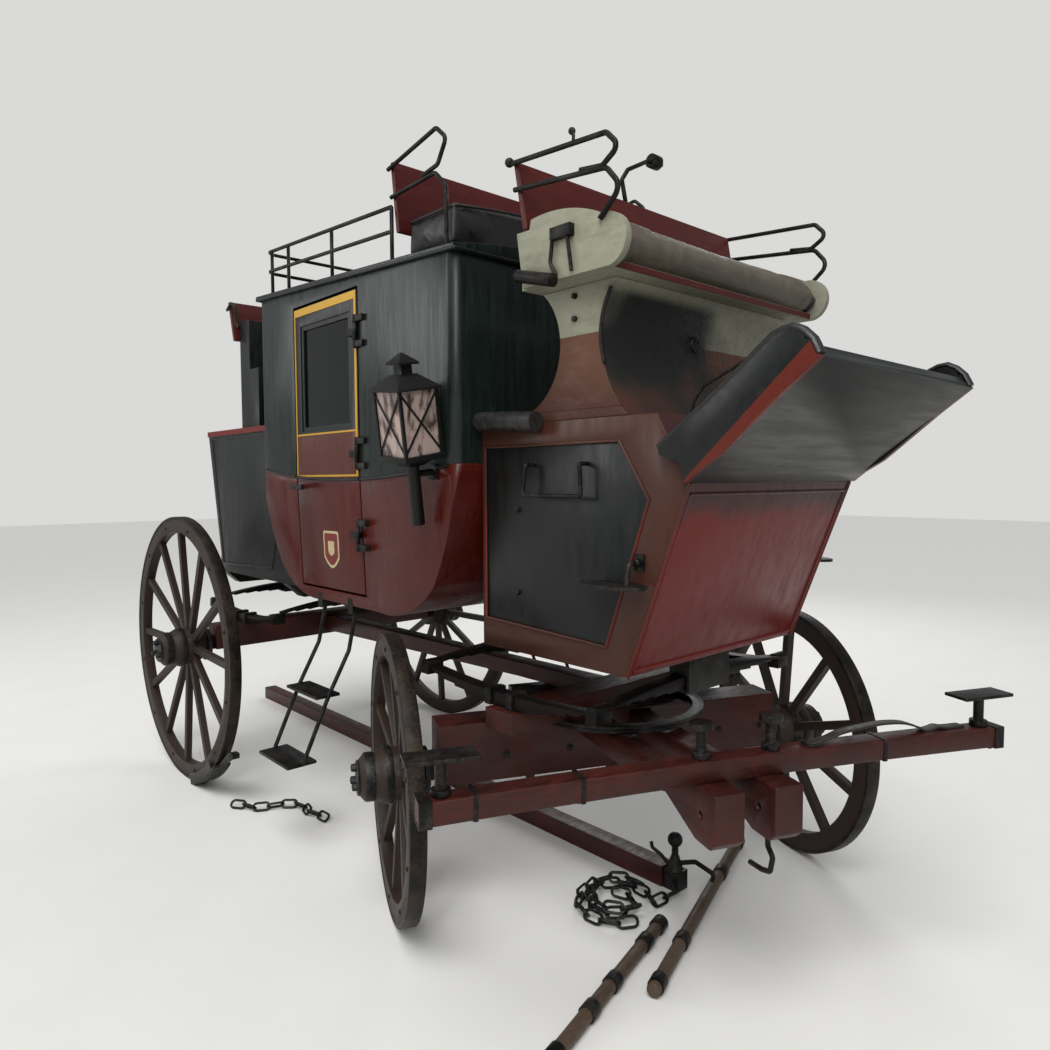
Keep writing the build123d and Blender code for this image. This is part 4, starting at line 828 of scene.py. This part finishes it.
class COACH_OT_wheel_irons(bpy.types.Operator):
    """Add hoops, nose plates and bolt heads to the naves, and bolts to the felloes"""
    bl_idname = "coach.wheel_irons"
    bl_label = "Wheel irons"

    def execute(self, context):
        bolt = context.scene.coach_trim.bolt
        for wheel in WHEELS:
            end, hand = wheel.split("_")
            body = f"{end}_wheel_{hand}"
            middle = middle_of(f"tyre_{wheel}") - KINGPIN
            axle = (np.array([(0.0, SIDES[hand], 0.0)]), [])
            axis = (steered(axle) if end == "front" else axle)[0][0]
            hoops = [turned_about(hoop(*row), middle, axis, 40) for row in HOOPS]
            nose = turned_about(NOSE_PLATE, middle, axis, 32)
            heads = copies(turned_about(NOSE_BOLT, (0, 0, 0), axis, 6),
                           spots_round(middle + axis * NOSE_FACE, axis, NOSE_BOLT_CIRCLE, (90, 210, 330)))
            piece(f"nave_irons_{wheel}", joined(*hoops, nose, heads), "blacked_wrought_iron", body)
            low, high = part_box(f"tyre_{wheel}")
            spots = spots_round(middle + axis * FELLOE_FACE, axis, (high.z - low.z) / 2 - FELLOE_DEPTH,
                                (np.arange(SPOKES[end]) + 0.5) * 360 / SPOKES[end])
            piece(f"felloe_bolts_{wheel}", bolts(spots, axis, 0.75 * bolt), "rolled_tyre_iron", body)
        return {"FINISHED"}


def pillow(low, high, power, rows=20, columns=40):
    """A stuffed block: a superellipsoid, half size times sign(c) |c|^power of the cosines and sines."""
    low, high = np.asarray(low, float), np.asarray(high, float)
    up, around = np.meshgrid(np.linspace(-math.pi / 2, math.pi / 2, rows + 1),
                             np.linspace(-math.pi, math.pi, columns, endpoint=False), indexing="ij")

    def bent(value):
        return np.sign(value) * np.abs(value) ** power
    shape = np.stack([bent(np.cos(up)) * bent(np.cos(around)), bent(np.cos(up)) * bent(np.sin(around)),
                      bent(np.sin(up))], -1)
    points = (low + high) / 2 + shape * (high - low) / 2
    grid = points[1:-1].reshape(-1, 3)
    ring = np.arange(columns)
    following, top_ring = (ring + 1) % columns, (rows - 2) * columns
    faces = quads(rows - 1, columns)
    faces += np.stack([np.full(columns, len(grid)), following, ring], -1).tolist()
    faces += np.stack([np.full(columns, len(grid) + 1), top_ring + ring, top_ring + following], -1).tolist()
    return np.concatenate([grid, [points[0].mean(0), points[-1].mean(0)]]), faces


def read_points(mesh):
    """A mesh's points as rows."""
    points = np.zeros(len(mesh.vertices) * 3)
    mesh.vertices.foreach_get("co", points)
    return points.reshape(-1, 3)


def crown(y, middle, half, rise):
    """Height added across the coach: rise times one less the square of the distance from the middle."""
    return rise * (1 - np.clip((y - middle) / half, -1, 1) ** 2)


SWELL_FRAMES, SWELL_PRESSURE = 20, 4


def stuffed(name, start, finish, shrink, cap, voxel=0.009, rise=0.0):
    """Cushion from a closed mesh: shrunk, remeshed, domed by rise, then swelled as cloth under pressure.

    Each point's move in the cloth is cut to the cap.
    """
    scene = bpy.context.scene
    points = read_points(start)
    middle, half = (points.max(0) + points.min(0)) / 2, (points.max(0) - points.min(0)) / 2
    start.vertices.foreach_set("co", (middle + (points - middle) * (1 - shrink / half)).ravel())
    made = shown(name, start)
    net = made.modifiers.new("net", "REMESH")
    net.mode, net.voxel_size = "VOXEL", voxel
    graph = bpy.context.evaluated_depsgraph_get()
    made.data = bpy.data.meshes.new_from_object(made.evaluated_get(graph))
    made.modifiers.clear()
    rest = read_points(made.data)
    up = (rest[:, 2] - rest[:, 2].min()) / np.ptp(rest[:, 2])
    rest[:, 2] += up * crown(rest[:, 1], middle[1], half[1], rise)
    made.data.vertices.foreach_set("co", rest.ravel())
    sim = made.modifiers.new("swell", "CLOTH")
    sim.settings.use_pressure = True
    sim.settings.uniform_pressure_force = SWELL_PRESSURE
    sim.settings.effector_weights.gravity = 0
    for number in range(1, SWELL_FRAMES + 1):
        scene.frame_set(number)
    graph = bpy.context.evaluated_depsgraph_get()
    move = read_points(made.evaluated_get(graph).data) - rest
    made.modifiers.clear()
    scene.frame_set(1)
    move *= np.minimum(1, cap / np.maximum(np.linalg.norm(move, axis=1, keepdims=True), 1e-9))
    made.data.vertices.foreach_set("co", (rest + move).ravel())
    smoothed(made.data)
    made.data.materials.clear()
    made.data.materials.append(bpy.data.materials[finish])
    finer = made.modifiers.new("finer", "SUBSURF")
    finer.levels = finer.render_levels = 1
    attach(made, "coach")
    return made


DRIVER_SECTION = ((0.200, 2.229), (0.497, 2.229), (0.530, 2.262), (0.499, 2.303), (0.457, 2.325),
                  (0.388, 2.350), (0.318, 2.360), (0.200, 2.360))
ROOF_RISE = 0.04                      # how far the roof cushion is domed
ROOF_PIPING_INSET, ROOF_PIPING_DROP = 0.022, 0.014
OUTER_CUSHIONS = (
    # node, finish, slot, how far it is shrunk, how far it may swell, how far it is domed
    ("driver_cushion", "brown_hide", "cushion", 0.012, 0.015, 0.0),
    ("roof_cushion", "black_hide", "black_leather", 0.018, 0.022, ROOF_RISE),
)
INSIDE_SEATS = (
    # part, its near and far side from the body's end, gap at the body's sides, bottom, top
    ("seat", 0.08, 0.43, 0.0, 1.42, 1.505),
    ("back", 0.0, 0.085, 0.0, 1.50, 2.08),
    ("box", 0.26, 0.40, 0.06, None, 1.425),
)


class COACH_OT_cushions(bpy.types.Operator):
    """Make the driver's cushion, the roof cushion and the seats inside"""
    bl_idname = "coach.cushions"
    bl_label = "Cushions"

    def execute(self, context):
        piping = circle(context.scene.coach_trim.piping, 8)
        for node, finish, slot, shrink, cap, rise in OUTER_CUSHIONS:
            solid = frame["nodes"][node].data
            faces = [list(face.vertices) for face in solid.polygons]
            start = outward_mesh(f"{node}_hide", read_points(solid), faces, WELD)
            made = stuffed(f"{node}_hide", start, finish, shrink, cap, rise=rise)
            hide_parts(node)
        half = half_width("driver_cushion") - 0.012
        ends = [carry(piping, round_corners(side_points(DRIVER_SECTION, y), 0.012), (0, 1, 0), closed=True)
                for y in (-half, half)]
        piece("driver_cushion_piping", joined(*ends), "black_hide")
        x, y, z = zip(*limits("roof_cushion"))
        bends = round_corners(inset(x, y, ROOF_PIPING_INSET), 0.03)
        share = np.linspace(0, 1, 12, endpoint=False)[None, :, None]
        flat = (bends[:, None] + (np.roll(bends, -1, 0) - bends)[:, None] * share).reshape(-1, 2)
        rise = crown(flat[:, 1], 0, y[1] - ROOF_PIPING_INSET, ROOF_RISE)
        route = np.column_stack([flat, z[1] - ROOF_PIPING_DROP + rise])
        piece("roof_cushion_piping", carry(piping, route, UP, closed=True), "black_hide")
        low, high = limits("inside_seats")
        for place, sign, wall in (("rear", 1, low[0]), ("front", -1, high[0])):
            for part, near, far, side_gap, bottom, top in INSIDE_SEATS:
                x = sorted((wall + sign * near, wall + sign * far))
                corners = (x[0], low[1] + side_gap, bottom or low[2]), (x[1], high[1] - side_gap, top)
                name = f"inside_{part}_{place}"
                if part == "box":
                    piece(name, pillow(*corners, 0.06), "painted_ash_gear")
                    continue
                points, faces = pillow(*corners, 0.18)
                made = stuffed(name, outward_mesh(name, points + KINGPIN, faces, WELD), "seat_cloth", 0.008,
                               0.012, 0.011)
                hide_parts("inside_seats")
        return {"FINISHED"}


ROLL_STRAPS = (0.28, 0.78)            # where the roll is tied, as shares of its length
ROLL_RADIUS, ROLL_Z, ROLL_FALL = 0.0335, 1.797, 0.0175      # its axis falls towards the front
ROLL_STRAP = ((0.030, -0.011), (0.0335, -0.011), (0.0338, 0.0), (0.0335, 0.011), (0.030, 0.011))
TRACE_X = 0.875
TRACE_LINE = (
    # across the coach, height over the splinter bar
    (0.235, 0.0), (0.300, 0.012), (0.350, 0.026), (0.425, 0.034), (0.500, 0.038), (0.575, 0.032),
    (0.632, 0.014), (0.662, 0.001), (0.690, 0.003), (0.712, 0.007), (0.745, 0.001), (0.812, 0.0),
)
TRACE_SECTION = ((0.017, 0), (0.017, 0.004), (0.015, 0.0052), (-0.015, 0.0052), (-0.017, 0.004), (-0.017, 0))
STITCH = ((0.0007, -0.002), (0.0009, 0), (0.0007, 0.002))


class COACH_OT_leather(bpy.types.Operator):
    """Make the rolled leather on the boot and the trace that lies on the splinter bar"""
    bl_idname = "coach.leather"
    bl_label = "Loose leather"

    def execute(self, context):
        low, high = limits("leather_roll")
        start, length, middle_y = low[0] + 0.004, high[0] - low[0] - 0.008, (low[1] + high[1]) / 2
        rows, sides = 60, 56
        along, turn = np.meshgrid(np.linspace(0, 1, rows), np.linspace(0, 2 * math.pi, sides, endpoint=False),
                                  indexing="ij")
        # The radius grows from its rear end, is drawn in at the straps and wavers along and round the roll
        bound = 1 - sum(0.1 * np.exp(-((along - strap) / 0.02) ** 2) for strap in ROLL_STRAPS)
        waver = 1 + 0.025 * np.sin(3 * turn + 7 * along) + 0.02 * np.sin(31 * along)
        radius = ROLL_RADIUS * (0.3 + 0.7 * np.clip(along / 0.09, 0, 1) ** 0.6) * bound * waver
        grid = np.stack([start + along * length,
                         middle_y + np.clip(radius * np.cos(turn), None, ROLL_RADIUS),
                         ROLL_Z - ROLL_FALL * along + radius * np.sin(turn)], -1).reshape(-1, 3)
        surface = grid, quads(rows, sides) + end_faces(rows, sides)
        roll = piece("rolled_leather", surface, "black_hide", angle=60)
        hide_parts("leather_roll")
        straps = [turned_about(ROLL_STRAP, (start + share * length, middle_y, ROLL_Z - ROLL_FALL * share),
                               (1, 0, 0), 40) for share in ROLL_STRAPS]
        piece("roll_straps", joined(*straps), "black_hide")
        bar_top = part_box("splinter_bar")[1].z
        line = smooth_line([(TRACE_X, y, bar_top + 0.001 + lift) for y, lift in TRACE_LINE], 90)
        trace = piece("leather_trace", steered(carry(TRACE_SECTION, line, UP)), "black_hide", "fore_carriage",
                      angle=60)
        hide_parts("trace_strap")
        marks = smooth_line(line, 150)[2:-2]
        stitch = turned_about(STITCH, (0, 0, 0), (0, 1, 0), 5)
        seams = [copies(stitch, marks + (side, 0, 0.0056)) for side in (-0.0135, 0.0135)]
        piece("trace_stitches", steered(joined(*seams)), "stitch_thread", "fore_carriage")
        flat = round_corners(rectangle((TRACE_X - 0.024, TRACE_X + 0.024), (0.225, 0.262)), 0.01)
        loop = carry(circle(0.004, 8), np.insert(flat, 2, bar_top + 0.007, axis=1), UP, closed=True)
        piece("trace_buckle", steered(loop), "blacked_wrought_iron", "fore_carriage")
        return {"FINISHED"}


# The splinter bar: its rear face in the middle, thickness, bow, half length, and its bands
BAR_REAR, BAR_THICK, BAR_BOW, BAR_HALF = 0.83, 0.07, 0.03, 0.93
BAR_BANDS = ((-0.914, 0.017), (-0.785, 0.006), (-0.49, 0.006), (0.49, 0.006), (0.914, 0.017))
SPRINGS = (("front", -0.03), ("hind", -2.262))      # middle of the side springs' seats
SPRING_Y, SPRING_SEAT = 0.53, 0.8
BED_BOLT_X, BED_BOLT_RISE, BED_BOLTS_Y = 0.055, 0.09, (0.2, 0.45, 0.64)


class COACH_OT_gear_irons(bpy.types.Operator):
    """Add bands, bolts and spring clips to the carriage"""
    bl_idname = "coach.gear_irons"
    bl_label = "Gear irons"

    def execute(self, context):
        bolt = context.scene.coach_trim.bolt
        height = [corner.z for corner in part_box("splinter_bar")]
        bands, nuts = [], []
        for y, half in BAR_BANDS:
            rear = BAR_REAR + BAR_BOW * (y / BAR_HALF) ** 2
            across = (rear, rear + BAR_THICK)
            bands.append(ring_between(inset(across, height, -2.5 * MM), inset(across, height, MM), 1,
                                      y - half, y + half))
            nuts.append((rear + BAR_THICK / 2, y, height[0] - 2 * MM))
        piece("splinter_bar_bands", steered(joined(*bands, bolts(nuts, (0, 0, -1), bolt, 1.2 * bolt))),
              "blacked_wrought_iron", "fore_carriage")
        bed_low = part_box("axle_bed")[0].z
        places = [(BED_BOLT_X, side * y, bed_low + BED_BOLT_RISE) for side in (-1, 1) for y in BED_BOLTS_Y]
        bed_bolts = steered(bolts(places, (1, 0, 0), bolt))
        piece("axle_bed_bolts", bed_bolts, "blacked_wrought_iron", "fore_carriage")
        for name, seat_x in SPRINGS:
            clips = []
            for y in (-SPRING_Y, SPRING_Y):
                outer = rectangle((y - 0.036, y + 0.036), (SPRING_SEAT + 0.0005, SPRING_SEAT + 0.057))
                inner = rectangle((y - 0.0285, y + 0.0285), (SPRING_SEAT + 0.003, SPRING_SEAT + 0.0495))
                clips += [ring_between(outer, inner, 0, x - 0.016, x + 0.016)
                          for x in (seat_x - 0.055, seat_x + 0.055)]
            piece(f"{name}_spring_clips", joined(*clips), "blacked_wrought_iron")
        return {"FINISHED"}


CANDLE = ((0.013, 0.0), (0.013, 0.085), (0.011, 0.09), (0.002, 0.088), (0.002, 0.1), (0.0005, 0.1))
CANDLE_CUP = ((0.026, 0.001), (0.03, 0.012), (0.027, 0.012), (0.022, 0.004), (0.001, 0.004))
LAMP_FOOT = (-0.335, -BODY_SIDE - 0.093, 1.684)
LAMP_OUT, LAMP_FORWARD = math.radians(10), math.radians(5.5)


class COACH_OT_lamp_fittings(bpy.types.Operator):
    """Put a candle and its cup in each lamp"""
    bl_idname = "coach.lamp_fittings"
    bl_label = "Lamp fittings"

    def execute(self, context):
        level = math.cos(LAMP_FORWARD)
        axis = (math.sin(LAMP_FORWARD), -math.sin(LAMP_OUT) * level, math.cos(LAMP_OUT) * level)
        piece("lamp_candles", both(turned_about(CANDLE, LAMP_FOOT, axis, 16)), "candle_wax")
        piece("lamp_candle_cups", both(turned_about(CANDLE_CUP, LAMP_FOOT, axis, 24)), "lamp_sheet_iron")
        return {"FINISHED"}


# The camera: place, turns in radians, focal length and width of the picture in pixels, and sensor in mm
CAMERA_PLACE = (1.9994, -2.2817, 1.5894)
YAW, PITCH, ROLL = -0.8321, -0.0586, -0.005
FOCAL_PX, WIDE_PX, SENSOR = 776.59, 1050, 36
FLOOR_REACH = 30
AREA_LIGHTS = (
    # name, place, what it is aimed at, size, power
    ("key", (5.2, -4.6, 4.8), (0.9, 0, 1.2), 3.0, 200),
    ("fill", (-4.5, -5.5, 4.2), (0.2, 0, 1.2), 4.0, 130),
    ("rim", (-2.5, 5.5, 4.8), (0.4, 0, 1.4), 3.5, 130),
)


class COACH_OT_stage(bpy.types.Operator):
    """Make the pale floor, the backdrop, the soft lights and the camera"""
    bl_idname = "coach.stage"
    bl_label = "Stage"

    def execute(self, context):
        scene = context.scene
        clouded("studio_floor", scene.coach_paints.studio, 3.0, 3.0, 0.3, 0.7, 0.3, 0.93, 0.6)
        ground = rectangle((-FLOOR_REACH, FLOOR_REACH), (-FLOOR_REACH, FLOOR_REACH))
        mesh = bpy.data.meshes.new("studio_floor")
        mesh.from_pydata([(x, y, 0) for x, y in ground.tolist()], [], [(0, 1, 2, 3)])
        mesh.materials.append(bpy.data.materials["studio_floor"])
        floor = shown("studio_floor", mesh)
        # The camera sees a pale backdrop, and the coach is lit by a dimmer, cooler one
        scene.world = bpy.data.worlds.new("studio")
        scene.world.use_nodes = True
        scene.world.node_tree.nodes.clear()
        add = partial(shader_node, scene.world.node_tree)
        seen = add("Math", {"operation": "MAXIMUM"}, add("LightPath", out="Is Camera Ray"),
                   add("LightPath", out="Is Transmission Ray"))
        light = add("Background", Color=(0.95, 0.97, 1.0, 1), Strength=0.34)
        backdrop = add("Background", Color=shade(linear("DADAD8")), Strength=1.0)
        add("OutputWorld", None, add("MixShader", None, seen, light, backdrop))
        for name, place, aim, size, power in AREA_LIGHTS:
            lamp = bpy.data.lights.new(name, "AREA")
            lamp.energy, lamp.size = power, size
            made = shown(name, lamp)
            made.location = place
            made.rotation_euler = (Vector(aim) - Vector(place)).to_track_quat("-Z", "Y").to_euler()
        sun = bpy.data.lights.new("sky", "SUN")
        sun.energy, sun.angle = 2.1, math.radians(35)
        shown("sky", sun).rotation_euler = (math.radians(24), math.radians(16), 0)
        view = bpy.data.cameras.new("camera")
        view.sensor_width = SENSOR
        view.lens = SENSOR * FOCAL_PX / WIDE_PX
        scene.camera = shown("camera", view)
        scene.camera.matrix_world = (
            Matrix.Translation(Vector(CAMERA_PLACE) + Vector(KINGPIN)) @ Matrix.Rotation(-YAW, 4, "Z")
            @ Matrix.Rotation(math.pi / 2 + PITCH, 4, "X") @ Matrix.Rotation(ROLL, 4, "Z"))
        scene.view_settings.view_transform = "Standard"
        return {"FINISHED"}


class COACH_PT_panel(bpy.types.Panel):
    """Lists the pieces, sizes and paints"""
    bl_label = "Coach"
    bl_idname = "COACH_PT_panel"
    bl_space_type = "VIEW_3D"
    bl_region_type = "UI"
    bl_category = "Coach"

    def draw(self, context):
        for operator in OPERATORS:
            self.layout.operator(operator.bl_idname)
        for group in (context.scene.coach_trim, context.scene.coach_paints):
            for name in group.bl_rna.properties.keys():
                if name not in ("rna_type", "name"):
                    self.layout.prop(group, name)


OPERATORS = (COACH_OT_finishes, COACH_OT_body_trim, COACH_OT_boot_trim, COACH_OT_wheel_irons,
             COACH_OT_cushions, COACH_OT_leather, COACH_OT_gear_irons, COACH_OT_lamp_fittings, COACH_OT_stage)
CLASSES = (CoachPaints, CoachTrim, *OPERATORS, COACH_PT_panel)


def register():
    for cls in CLASSES:
        bpy.utils.register_class(cls)
    bpy.types.Scene.coach_paints = PointerProperty(type=CoachPaints)
    bpy.types.Scene.coach_trim = PointerProperty(type=CoachTrim)


def unregister():
    del bpy.types.Scene.coach_trim
    del bpy.types.Scene.coach_paints
    for cls in reversed(CLASSES):
        bpy.utils.unregister_class(cls)


def main():
    register()
    for operator in OPERATORS:
        group, name = operator.bl_idname.split(".")
        getattr(getattr(bpy.ops, group), name)()


if __name__ == "__main__":
    main()
